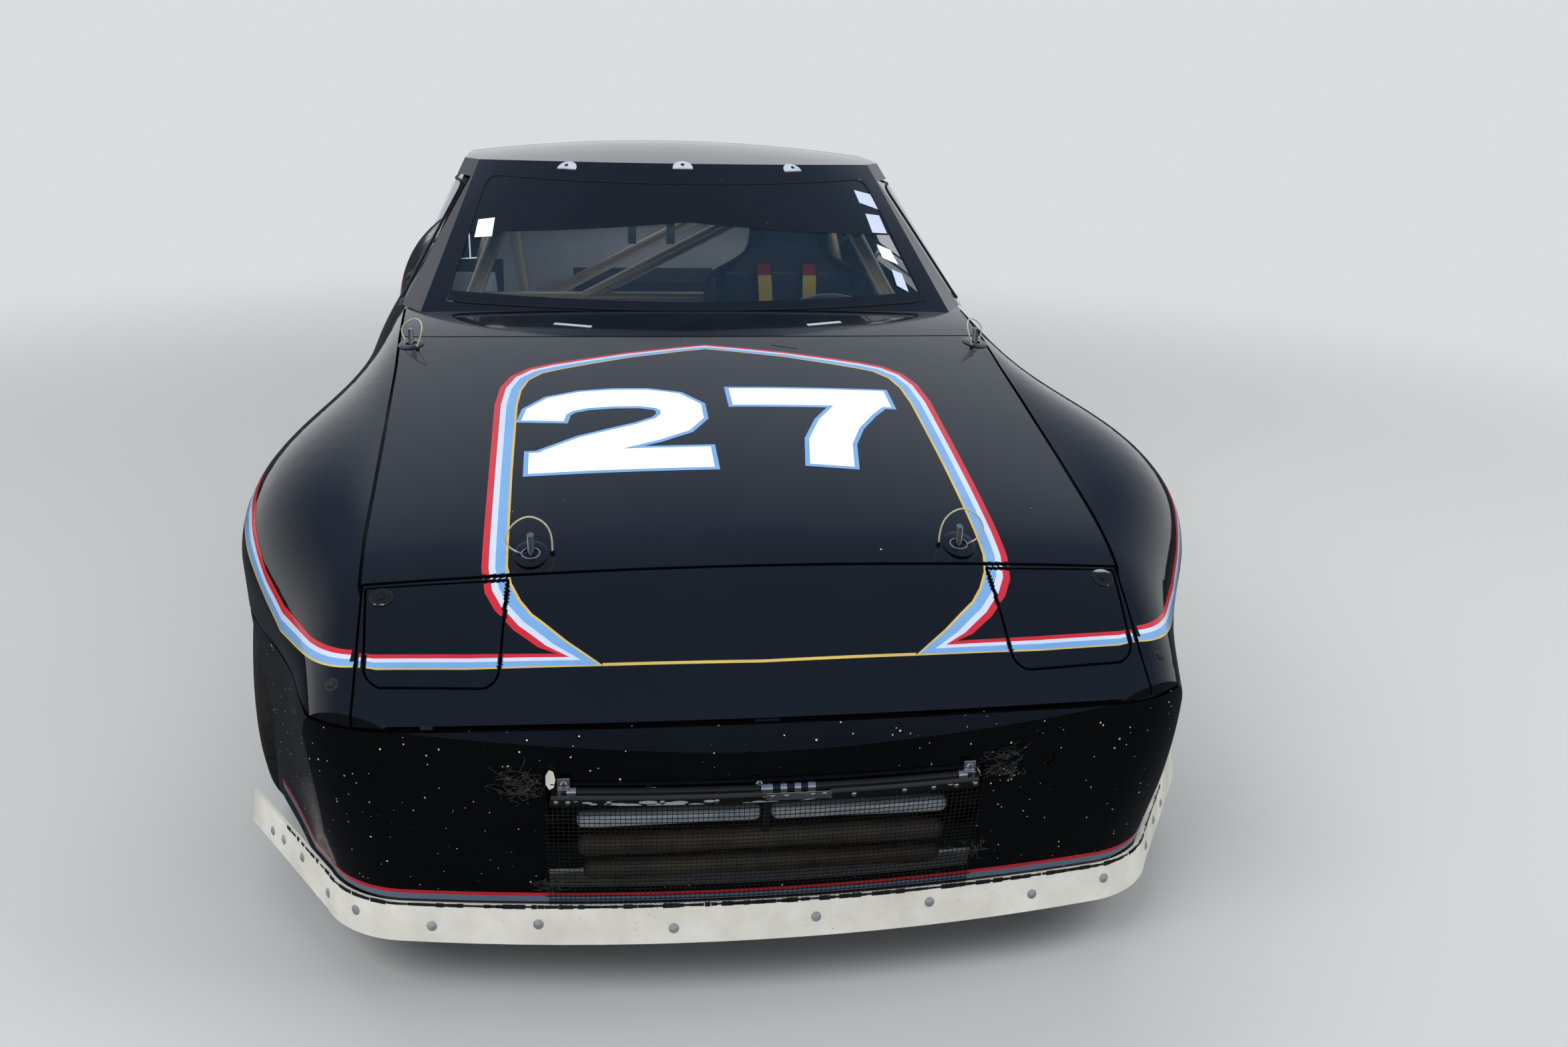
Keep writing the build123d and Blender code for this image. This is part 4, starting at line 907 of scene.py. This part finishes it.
fitted("Bracket_screws", "brightSteel", "grille_screen", [(0, 3), (4, 3), (5.5, 1.5), (5.5, -1), (0, -1)], 6,
       [onFront(x, z, 11.5) @ toFront for x, z in ((-318, 428), (318, 428), (-20, 424))])
fitted("Bracket_ring", "brightSteel", "grille_screen",
       [(7, 0), (8.2, 1.2), (9.4, 0), (8.2, -1.2), (7, 0)], 24, [onFront(333, 418, 12) @ about("Y", 68.755)])

# Cooler tubes in two banks with a post between them
# Columns: left and right x, low and high z, depth behind the screen
coolerBands = [(-300, -6, 318, 346, 40), (10, 300, 318, 346, 40), (-300, 300, 262, 300, 44),
               (-290, 296, 214, 250, 52)]
coolers = [shifted(roundedBox((x1 - x0, 30, z1 - z0), (z1 - z0) * 0.46, 4),
                   at((x0 + x1) / 2, behind - 2090, (z0 + z1) / 2))
           for x0, x1, z0, z1, behind in coolerBands]
settle(joined(coolers[:2]), "Cooler_top_tubes", "coolerMetal", "radiator")
settle(joined(coolers[2:]), "Cooler_low_tubes", "dustyMetal", "radiator")
settle(shifted(roundedBox((12, 20, 150), 2), at(2, -2046, 330)), "Cooler_post", "grainedPlastic", "radiator")

# Frayed wire at the cloth's corners, and the small torn corner of white plastic
frayed = []
for centreX, centreZ, wide, tall, count in ((-386, 420, 30, 22, 60), (380, 424, 26, 20, 50),
                                            (-352, 212, 12, 14, 26), (346, 246, 12, 12, 22)):
    for index in range(count):
        x = centreX + random.uniform(-wide, wide)
        z = centreZ + random.uniform(-tall, tall)
        points = []
        for bend in range(5):
            spot = frontPoint(x, min(z, 470), random.uniform(1, 9) if 0 < bend < 4 else 0.8)
            if spot:
                points.append(spot)
            x += random.uniform(-14, 14)
            z += random.uniform(-9, 9)
        if len(points) > 2:
            frayed.append(tube(points, 0.4 * mm, resolution=0))
settle(joined(frayed), "Frayed_wire", "frayedWire", "grille_screen")
corner = shifted(turned([(0, 0), (9, 0.4), (15, 2), (15.6, 4), (8, 3), (0, 2)], 7),
                 onFront(-338, 432, 3) @ toFront @ Matrix.Diagonal((0.5, 1.1, 1, 1)))
settle(corner, "Torn_corner", "scuffedPolyethylene", "front_lip")
print("front built")

# Race seat: a glass-fibre shell with cloth pads and a harness. Rows run from the front lip up
# to the head: (y, z) of the shell's middle line, half width and how far its sides stand up
seatX = 380
seatRows = [(-128, 236, 196, 12), (-118, 258, 205, 40), (-60, 256, 208, 66), (60, 240, 208, 92),
            (200, 229, 208, 126), (320, 227, 208, 150), (384, 244, 208, 165), (408, 300, 212, 172),
            (427, 400, 218, 160), (441, 500, 226, 128), (453, 580, 246, 98), (463, 650, 260, 102),
            (473, 720, 264, 98), (481, 772, 246, 60), (486, 806, 176, 24), (491, 840, 124, 40),
            (499, 895, 118, 74), (508, 955, 115, 74), (513, 985, 104, 36)]
# The middle share of the width is flat, and the rest bends up to the sides
seatBend = {"flat": 0.58, "bent": 0.42, "flatWidth": 0.84, "bentWidth": 0.16, "rise": 0.8}


def seatPoint(row, share, lift=0):
    # A point of the shell: row along the middle line, share across it from -1 to 1
    low = min(int(row), len(seatRows) - 2)
    part = row - low
    y, z, half, stand = [a + (b - a) * part for a, b in zip(seatRows[low], seatRows[low + 1])]
    before = seatRows[max(0, low if part else low - 1)]
    after = seatRows[min(len(seatRows) - 1, low + 1)]
    along = Vector((0, after[0] - before[0], after[1] - before[1])).normalized()
    out = Vector((0, -along.z, along.y))
    turn = max(0, (abs(share) - seatBend["flat"]) / seatBend["bent"]) * math.pi / 2
    x = half * (min(abs(share) / seatBend["flat"], 1) * seatBend["flatWidth"]
                + seatBend["bentWidth"] * math.sin(turn))
    height = stand * (1 - math.cos(turn)) ** seatBend["rise"]
    inward = Vector((-math.copysign(1, share), 0, 0)) * math.sin(turn) ** 2
    base = Vector((seatX + math.copysign(x, share), y, z)) + out * height
    return (base + (inward + out * math.cos(turn)).normalized() * lift) * mm


acrossSeat = [i / 12 for i in range(-12, 13)]
shell = gridPiece([[seatPoint(row, share) for share in acrossSeat] for row in range(len(seatRows))])
modify(shell, "SUBSURF", levels=1)
modify(shell, "SOLIDIFY", thickness=6 * mm, offset=0)
smoothEdges(shell, 50)
settle(shell, "Bucket_shell", "gelcoatShell", "race_seat")
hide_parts("race_seat")
rimLine = ([seatPoint(row, -1) for row in range(len(seatRows))]
           + [seatPoint(len(seatRows) - 1, share) for share in acrossSeat[2:-2:2]]
           + [seatPoint(row, 1) for row in range(len(seatRows) - 1, -1, -1)]
           + [seatPoint(0, share) for share in acrossSeat[-3:1:-2]])
settle(tube(rimLine, 6 * mm, closed=True), "Bucket_edging", "grainedPlastic", "race_seat")

# Cloth pads over parts of the shell, full in the middle and thin at their sewn edges
# Columns: rows, shares across, thickness in millimetres, fill
seatPads = {"base": ((1.1, 5.6), (-0.56, 0.56), 34, 0.6), "back": ((7.3, 13.2), (-0.56, 0.56), 30, 0.6),
            "head": ((15.2, 18.0), (-0.56, 0.56), 34, 0.7),
            "side_l": ((8.6, 12.9), (0.62, 0.98), 24, 0.7),
            "side_r": ((8.6, 12.9), (-0.98, -0.62), 24, 0.7),
            "thigh_l": ((1.6, 6.6), (0.62, 0.98), 22, 0.7),
            "thigh_r": ((1.6, 6.6), (-0.98, -0.62), 22, 0.7)}
for name, (rows, shares, thick, fill) in seatPads.items():
    loops = []
    for a in [i / 12 for i in range(13)]:
        row = rows[0] + (rows[1] - rows[0]) * a
        upper, lower = [], []
        for b in [i / 12 for i in range(13)]:
            full = (1 - (2 * a - 1) ** 6) * (1 - (2 * b - 1) ** 6)
            share = shares[0] + (shares[1] - shares[0]) * b
            upper.append(seatPoint(row, share, 5 + (thick - 1) * full ** 0.5))
            lower.append(seatPoint(row, share, 4))
        loops.append(upper + lower[::-1])
    pad = gridPiece(loops, closed=True)
    smoothEdges(pad, 70)
    settle(pad, "Pad_" + name, "seatCloth", "race_seat")

# Two rails carry the shell
rails = spread(roundedBox((26, 420, 96), 3), [at(seatX + x, 150, 144) for x in (-165, 165)])
settle(rails, "Bucket_rails", "castAluminium", "race_seat")


def ribbon(points, width, thick, side=(1, 0, 0)):
    # Flat webbing along points in metres
    lines = []
    across = Vector(side) * width * mm / 2
    for i, point in enumerate(points):
        along = (points[min(i + 1, len(points) - 1)] - points[max(i - 1, 0)]).normalized()
        out = along.cross(across).normalized() * thick * mm / 2
        lines.append([point - across - out, point + across - out, point + across + out, point - across + out])
    return gridPiece(lines, closed=True)


def smoothLine(points, steps=6):
    # Points of a soft bend through the middles of a route's runs
    spots = [Vector(p) * mm for p in points]
    line = [spots[0]]
    for before, here, after in zip(spots, spots[1:], spots[2:]):
        start, end = (before + here) / 2, (here + after) / 2
        for i in range(steps + 1):
            t = i / steps
            line.append(start * (1 - t) ** 2 + here * 2 * t * (1 - t) + end * t * t)
    return line + [spots[-1]]


# Shoulder straps from the cross bar over the seat's shoulders down to the buckle, and lap straps
harness = {
    "width": 50, "thick": 1.6, "buckle": (380, 262, 300), "labelLift": (0, -1.6, 0.4),
    "labels": [(17, 22, "redWebbing"), (22, 29, "goldWebbing")],
    "shoulder": [(72, 588, 700), (72, 560, 760), (72, 520, 812), (72, 462, 806), (70, 428, 740),
                 (66, 412, 640), (50, 396, 500), (30, 360, 380), (14, 292, 322), (10, 276, 318)],
    "lap": [(232, 420, 210), (226, 400, 300), (190, 372, 346), (120, 318, 330), (60, 284, 312),
            (22, 266, 308)],
}
for side, letter in ((1, "l"), (-1, "r")):
    for part, turn in (("shoulder", (1, 0, 0)), ("lap", (0, 0.25, 1))):
        line = smoothLine([(seatX + side * x, y, z) for x, y, z in harness[part]])
        strap = ribbon(line, harness["width"], harness["thick"], turn)
        smoothEdges(strap, 40)
        settle(strap, f"Harness_{part}_{letter}", "blackWebbing", "race_seat")
        if part == "shoulder":
            # Sewn label in two colours, plain
            for index, (low, high, finish) in enumerate(harness["labels"]):
                tag = ribbon([p + Vector(harness["labelLift"]) * mm for p in line[low:high + 1]],
                             harness["width"] - 8, 0.8)
                settle(tag, f"Harness_label_{letter}_{index}", finish, "race_seat")
fitted("Harness_buckle", "brightSteel", "race_seat",
       [(0, 12), (20, 12), (27, 9), (30, 3), (30, -8), (0, -8)], 32,
       [at(*harness["buckle"]) @ about("X", -51.566)])
print("seat built")

# Tyres with grooves and shoulder blocks, and the wheels' nuts, caps, rings, discs and calipers
# Distances along an axle count from the rim's outer edge
wheelPlan = {
    # Tread: steps round the tyre, steps to a block, groove and gap depths, crown edge and slant
    "steps": 240, "block": 5, "groove": 6, "gap": 4.6, "crown": 32, "grooves": 0.52, "slant": 0.0012,
    # Distance from the axle and along it
    "nuts": (44, 0, -30), "cap": (0, 0, -30), "windows": (130, 0, -33), "pads": (128, 0, -33),
    "disc": (0, 0, -142), "brake": {"outer": 146, "inner": 62},
    "valve": [(176, 22, -34), (176, 22, -24), (174, 22, -14), (172, 22, -8)],
    "caliper": [((62, 118, 26), 6, (118, 0, -159)), ((62, 118, 26), 6, (118, 0, -103)),
                ((14, 92, 78), 4, (156, 0, -131))],
}


def wheelPlace(name, side):
    # Origin on the axle at the rim's outer edge, Z pointing outward
    low, high = [Vector(corner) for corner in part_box(name)]
    centre = (low + high) / 2
    centre.x = high.x if side > 0 else low.x
    return Matrix.Translation(centre) @ about("Y", side * 90)


def treadProfile(radius, width):
    # Outline of (radius, height) from the outer bead over the tread to the inner bead
    half, bead, depth = width / 2, 205.6, wheelPlan["groove"]
    wall = [(bead, half - 20.6), (bead + 14.8, half - 20.6), (bead + 17.2, half - 6.2), (bead + 26, half - 3),
            (bead + 30, half - 0.8), (bead + 33, half - 2.2), (bead + 48, half - 0.2), (bead + 60, half - 1),
            (bead + 62, half - 2.4), (radius - 24, half - 5), (radius - 14, half - 8.5),
            (radius - 5.5, half - 15), (radius - 1.6, half - 23), (radius - 0.2, half - wheelPlan["crown"])]
    tread = []
    for share in (wheelPlan["grooves"], 0.0, -wheelPlan["grooves"]):
        middle = share * (half - wheelPlan["crown"])
        tread += [(radius - 0.2, middle + 5), (radius - 0.8, middle + 4), (radius - depth, middle + 3),
                  (radius - depth, middle - 3), (radius - 0.8, middle - 4), (radius - 0.2, middle - 5)]
    return wall + tread + [(r, -z) for r, z in wall[::-1]] + [wall[0]]


def cutBlocks(treads, radius, width):
    # Sinks a gap after each block of the shoulders
    cut = 2 * math.pi / (wheelPlan["steps"] / wheelPlan["block"])
    shoulder = (width / 2 - wheelPlan["crown"]) * wheelPlan["grooves"] + 8
    for vertex in treads.data.vertices:
        reach = math.hypot(vertex.co.x, vertex.co.y)
        across = abs(vertex.co.z) / mm
        slant = across * wheelPlan["slant"] * math.copysign(1, vertex.co.z)
        turn = math.atan2(vertex.co.y, vertex.co.x) + slant
        outside = reach > (radius - wheelPlan["groove"]) * mm and across > shoulder
        if outside and turn % cut < cut / wheelPlan["block"]:
            vertex.co.xy *= (radius - wheelPlan["gap"]) * mm / reach


for end in ("f", "r"):
    low, high = [Vector(corner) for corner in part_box("tyre_" + end + "l")]
    radius, width = (high.z - low.z) / 2 / mm, (high.x - low.x) / mm
    for side, letter in ((1, "l"), (-1, "r")):
        wheel = end + letter
        rim, tyre = "rim_" + wheel, "tyre_" + wheel
        place = wheelPlace(rim, side)
        treads = turned(treadProfile(radius, width), wheelPlan["steps"])
        cutBlocks(treads, radius, width)
        low, high = [Vector(corner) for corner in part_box(tyre)]
        shifted(treads, Matrix.Translation((low + high) / 2) @ about("Y", side * 90))
        smoothEdges(treads, 25)
        settle(treads, "Tyre_tread_" + wheel, "tyreRubber", tyre)
        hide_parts(tyre)
        # The windows stand at 0, 72 and so on, and a nut and a shallow pad lie between two
        windows = [place @ about("Z", 72 * i) for i in range(5)]
        between = [window @ about("Z", 36) for window in windows]
        fitted("Wheel_nuts_" + wheel, "brightSteel", rim,
               [(0, 17), (8, 17), (10.5, 14.5), (10.5, 3), (15, 0), (0, 0)], 6,
               [spot @ at(*wheelPlan["nuts"]) for spot in between])
        fitted("Wheel_cap_" + wheel, "grainedPlastic", rim,
               [(0, 12), (14, 11), (24, 6), (27, 0), (27, -1), (0, -1)], 40, [place @ at(*wheelPlan["cap"])])
        collar = turned([(37.6, 0), (37.6, 2.6), (40, 3.4), (43.5, 2.4), (45, 0), (37.6, 0)], 40)
        spread(collar, [spot @ at(*wheelPlan["windows"]) for spot in windows])
        rimLip = turned([(186, -33), (186, -30), (189, -22), (193, -8), (196, 0.4), (205, 1.6), (213, 0.8),
                         (214.5, -2), (214.5, -5), (196, -5), (186, -33)], 96)
        pad = spread(roundedBox((96, 40, 7), 3), [spot @ at(*wheelPlan["pads"]) for spot in between])
        settle(joined([collar, shifted(rimLip, place), pad]), "Wheel_relief_" + wheel, "wheelSilver", rim)
        stem = tube([place @ (Vector(spot) * mm) for spot in wheelPlan["valve"]], 4 * mm, resolution=3)
        settle(stem, "Valve_" + wheel, "grainedPlastic", tyre)
        outer, inner = wheelPlan["brake"]["outer"], wheelPlan["brake"]["inner"]
        fitted("Brake_disc_" + wheel, "roadSteel", rim,
               [(inner, 0), (outer - 2, 0), (outer, 2), (outer, 8), (outer - 8, 9), (outer - 8, 13),
                (outer, 14), (outer, 20), (outer - 2, 22), (inner, 22), (inner, 0)], 64,
               [place @ at(*wheelPlan["disc"])])
        carrier = bodyOf["knuckle_" + letter] if end == "f" else "root"
        halves = [shifted(roundedBox(size, bevel), at(*spot)) for size, bevel, spot in wheelPlan["caliper"]]
        settle(shifted(joined(halves), place @ about("Z", -side * 90)), "Caliper_" + wheel, "castAluminium",
               rim, carrier)
print("wheels dressed")

# Dash: gauges with plain dials, a bright arch round the large one, and switches
dashPlan = {
    # Columns: x, y of the face, z, radius, pointer's turn in degrees
    "gauges": [(-184, -545, 790, 45, 40), (250, -545, 764, 30, -60), (330, -545, 770, 38, 20),
               (410, -545, 770, 38, 75), (490, -545, 764, 30, -20)],
    "large": 45, "switches": [(x, -532, 728) for x in (60, 90, 120, 150, 180)],
    "arch": {"centre": (-184, -552, 790), "radius": 54},
}
bezels, dials, needles = [], [], []
for x, y, z, radius, turn in dashPlan["gauges"]:
    place = at(x, y, z) @ about("X", -90)
    if radius == dashPlan["large"]:
        # The large dial lies sunk in an open ring
        profile, steps, depth = [(radius, -11), (radius + 5.5, -11), (radius + 5.5, 2), (radius + 2, 4),
                                 (radius, 2), (radius, -11)], 48, -9
    else:
        profile, steps, depth = [(0, -14), (radius + 3, -14), (radius + 4, 2), (radius + 1.5, 5), (radius, 3),
                                 (radius, 0), (0, 0)], 40, 1
    bezels.append(shifted(turned(profile, steps), place))
    dials += [shifted(roundedBox((1.6, radius * 0.16, 1), 0.3),
                      place @ about("Z", 30 * i - 120) @ at(0, radius * 0.84, depth + 0.6)) for i in range(9)]
    needles.append(shifted(roundedBox((2.2, radius * 0.72, 1), 0.4),
                           place @ about("Z", turn) @ at(0, radius * 0.3, depth + 2)))
settle(joined(bezels), "Gauge_bezels", "grainedPlastic", "dash")
settle(joined(dials), "Gauge_marks", "whiteVinyl", "dash")
settle(joined(needles), "Gauge_needles", "redVinyl", "dash")
arch = dashPlan["arch"]
points = [Vector(arch["centre"]) * mm + Vector((math.cos(a), 0, math.sin(a))) * arch["radius"] * mm
          for a in [math.radians(10 + 16 * i) for i in range(11)]]
settle(tube(points, 5 * mm, resolution=3), "Gauge_arch", "brightSteel", "dash")
fitted("Dash_switches", "brightSteel", "dash",
       [(0, 19), (2.4, 19), (3, 16), (2, 5), (5.5, 4.5), (5.5, 0), (0, 0)], 12,
       [at(*spot) @ about("X", -77.349) for spot in dashPlan["switches"]])

# Steering wheel: hub bolts and a plain push button
hubAxis = at(370, -330, 704) @ about("X", -65)
fitted("Wheel_button", "grainedPlastic", "steering_wheel",
       [(0, 21), (14, 20), (19, 15), (20, 10), (24, 10), (24, 9.5), (0, 9.5)], 32, [hubAxis])
fitted("Wheel_bolts", "brightSteel", "steering_wheel",
       [(0, 14), (4, 14), (5, 12.5), (5, 9.8), (0, 9.8)], 6,
       [hubAxis @ about("Z", 60 * i) @ at(31, 0, 0) for i in range(6)])

# Mirror on a bracket of bent strip under the roof
mirror = {"strips": (-128, -26), "x": -77, "y": -150, "z": 1052, "top": 1120, "shelf": 1012, "foot": 958}
y, top, shelf, foot = [mirror[key] for key in ("y", "top", "shelf", "foot")]
strips = []
for x in mirror["strips"]:
    strips += [shifted(roundedBox((4, 26, top - shelf), 1), at(x, y, (top + shelf) / 2)),
               shifted(roundedBox((22, 4, shelf - foot), 1), at(x, y - 14, (shelf + foot) / 2))]
strips.append(shifted(roundedBox((108, 30, 4), 1), at(mirror["x"], y, shelf)))
settle(joined(strips), "Mirror_bracket", "zincStrip", "nose_panel")
case = shifted(roundedBox((150, 26, 52), 11, 4), at(mirror["x"], y + 6, mirror["z"]))
settle(case, "Mirror_case", "grainedPlastic", "nose_panel")

# Fire bottle on the passenger's side, and the lamp seen inside the tail
fitted("Fire_bottle", "silverPaint", "floor_pan",
       [(0, 330), (14, 330), (16, 300), (40, 282), (52, 255), (52, 12), (44, 0), (0, 0)], 40,
       [at(-420, -330, 215) @ about("Y", 14.324)])
fitted("Amber_lamp", "amberLens", "tail_lamps",
       [(0, 14), (14, 12), (22, 6), (25, 0), (25, -6), (0, -6)], 32, [at(-566, 1940, 742) @ toFront])
print("cabin dressed")

# Tail lamps: frames, dividers and plain segments
lampPlan = {"x": (330, 640), "z": (640, 770), "inset": 4, "dividers": (0.28, 0.52, 0.76),
            # Shares along the lamp
            "segments": {"amber": (0.30, 0.50), "clear": (0.04, 0.26)}}
lampFilms = {"amber": amberFilm, "clear": clearFilm}


def rearBand(label, x0, x1, z0, z1, film, lift):
    rails = [[(x, 2400, z0), (x, 2400, z1)] for x in (x0, x1)]
    layBand(label, ["tail_lamps"], *rails, *plainFilm(film, 4), "fore", lift, 12)


for side, letter in ((1, "l"), (-1, "r")):
    x0, x1 = [side * x for x in lampPlan["x"]]
    z0, z1 = lampPlan["z"]
    inset = side * lampPlan["inset"]
    for name, (a, b) in lampPlan["segments"].items():
        rearBand(f"Lamp_{name}_{letter}", x0 + inset + (x1 - x0) * a, x0 + inset + (x1 - x0) * b,
                 z0 + 10, z1 - 10, lampFilms[name], 1.5)
    for index, share in enumerate(lampPlan["dividers"]):
        middle = x0 + inset + (x1 - x0) * share
        rearBand(f"Lamp_divider_{letter}_{index}", middle - 3, middle + 3, z0 + 6, z1 - 6, black, 2.2)
    for index, (low, high) in enumerate(((z0 + 3, z0 + 10), (z1 - 10, z1 - 3))):
        rearBand(f"Lamp_frame_{letter}_{index}", x0 + inset, x1 - inset, low, high, black, 2.6)
print("tail lamps dressed")

# Liners behind the rear wheels, and door handles: a lever in an oval dish
for side, letter in ((1, "l"), (-1, "r")):
    liner = shifted(roundedBox((300, 4, 470), 1.5), at(side * 690, 1487, 420))
    settle(liner, "Rear_liner_" + letter, "grainedPlastic", "rear_quarter_" + letter)
    place = seatOn(["door_" + letter], (side * 1200, 560, 742), way=(-side, 0, 0))
    dish = shifted(turned([(0, -5), (22, -5), (24, 0), (26, 0.8), (28, 0), (28, -1)], 40),
                   place @ Matrix.Diagonal((1.7, 1, 1, 1)))
    lever = shifted(roundedBox((64, 18, 7), 3), place @ at(0, 4, 2))
    settle(joined([dish, lever]), "Door_handle_" + letter, "grainedPlastic", "door_" + letter)

# Pale floor that runs into the backdrop, and soft light
studio = {"backdrop": "DADDE0", "overhead": "7388A6", "floor": "BDBEBC", "mirrored": "3E4145",
          "sky": "DDE3EA", "skyStrength": 0.8, "fade": (2.4, 5.6),
          # Columns: place, aim, width, height, watts
          "lamps": [((-3.5, -4.5, 4.5), (0, -0.8, 0.5), 4, 3, 190),
                    ((4.5, -2.5, 4.0), (0, -0.5, 0.5), 3, 3, 120),
                    ((0, 1.5, 6.5), (0, -0.5, 0.5), 7, 1.6, 170)]}


def eitherRay(holder, first, second):
    rays = addNode(holder, "ShaderNodeLightPath", {}, {}).outputs
    return addNode(holder, "ShaderNodeMath", {"operation": "MAXIMUM"}, {
        0: rays[f"Is {first} Ray"], 1: rays[f"Is {second} Ray"]}).outputs[0]


bpy.ops.mesh.primitive_plane_add(size=60)
floor = bpy.context.object
floor.name = "Studio_floor"
floorFinish = bpy.data.materials.new("studioFloor")
floorFinish.use_nodes = True
floorFinish.node_tree.nodes.clear()
spot = addNode(floorFinish, "ShaderNodeTexCoord", {}, {}).outputs["Object"]
distance = addNode(floorFinish, "ShaderNodeVectorMath", {"operation": "LENGTH"}, {0: spot}).outputs["Value"]
fade = addNode(floorFinish, "ShaderNodeMapRange", {"interpolation_type": "SMOOTHSTEP"}, {
    "Value": distance, "From Min": studio["fade"][0], "From Max": studio["fade"][1]}).outputs[0]
share = addNode(floorFinish, "ShaderNodeMath", {"operation": "MULTIPLY"}, {
    0: fade, 1: eitherRay(floorFinish, "Camera", "Transmission")}).outputs[0]
# Reflections see a darker floor, as the paint in the photograph does
mirrored = addNode(floorFinish, "ShaderNodeMix", {"data_type": "RGBA"}, {
    0: eitherRay(floorFinish, "Glossy", "Glossy"), 6: colour(studio["floor"]),
    7: colour(studio["mirrored"])}).outputs[2]
matte = addNode(floorFinish, "ShaderNodeBsdfDiffuse", {}, {"Color": mirrored}).outputs[0]
plain = addNode(floorFinish, "ShaderNodeEmission", {}, {"Color": colour(studio["backdrop"])}).outputs[0]
ground = addNode(floorFinish, "ShaderNodeMixShader", {}, {0: share, 1: matte, 2: plain}).outputs[0]
addNode(floorFinish, "ShaderNodeOutputMaterial", {}, {"Surface": ground})
floor.data.materials.append(floorFinish)

for index, (place, aim, width, height, watts) in enumerate(studio["lamps"]):
    turn = (Vector(aim) - Vector(place)).to_track_quat("-Z", "Y").to_euler()
    bpy.ops.object.light_add(type="AREA", location=place, rotation=turn)
    lamp = bpy.context.object
    lamp.name = f"Softbox_{index}"
    lamp.data.shape = "RECTANGLE"
    lamp.data.size = width
    lamp.data.size_y = height
    lamp.data.energy = watts
    lamp.visible_glossy = False
    lamp.visible_transmission = False

world = bpy.data.worlds.new("studio")
bpy.context.scene.world = world
world.use_nodes = True
world.node_tree.nodes.clear()
way = addNode(world, "ShaderNodeTexCoord", {}, {}).outputs["Generated"]
rise = addNode(world, "ShaderNodeSeparateXYZ", {}, {"Vector": way}).outputs["Z"]
shade = addNode(world, "ShaderNodeValToRGB", {
    "stops": [(0.12, studio["backdrop"]), (0.75, studio["overhead"])]}, {"Fac": rise}).outputs[0]
backdrop = addNode(world, "ShaderNodeBackground", {}, {"Color": shade, "Strength": 1}).outputs[0]
sky = addNode(world, "ShaderNodeBackground", {}, {
    "Color": colour(studio["sky"]), "Strength": studio["skyStrength"]}).outputs[0]
mixed = addNode(world, "ShaderNodeMixShader", {}, {
    0: eitherRay(world, "Camera", "Glossy"), 1: sky, 2: backdrop}).outputs[0]
addNode(world, "ShaderNodeOutputWorld", {}, {"Surface": mixed})
bpy.context.scene.view_settings.view_transform = "Standard"
print("studio lit")
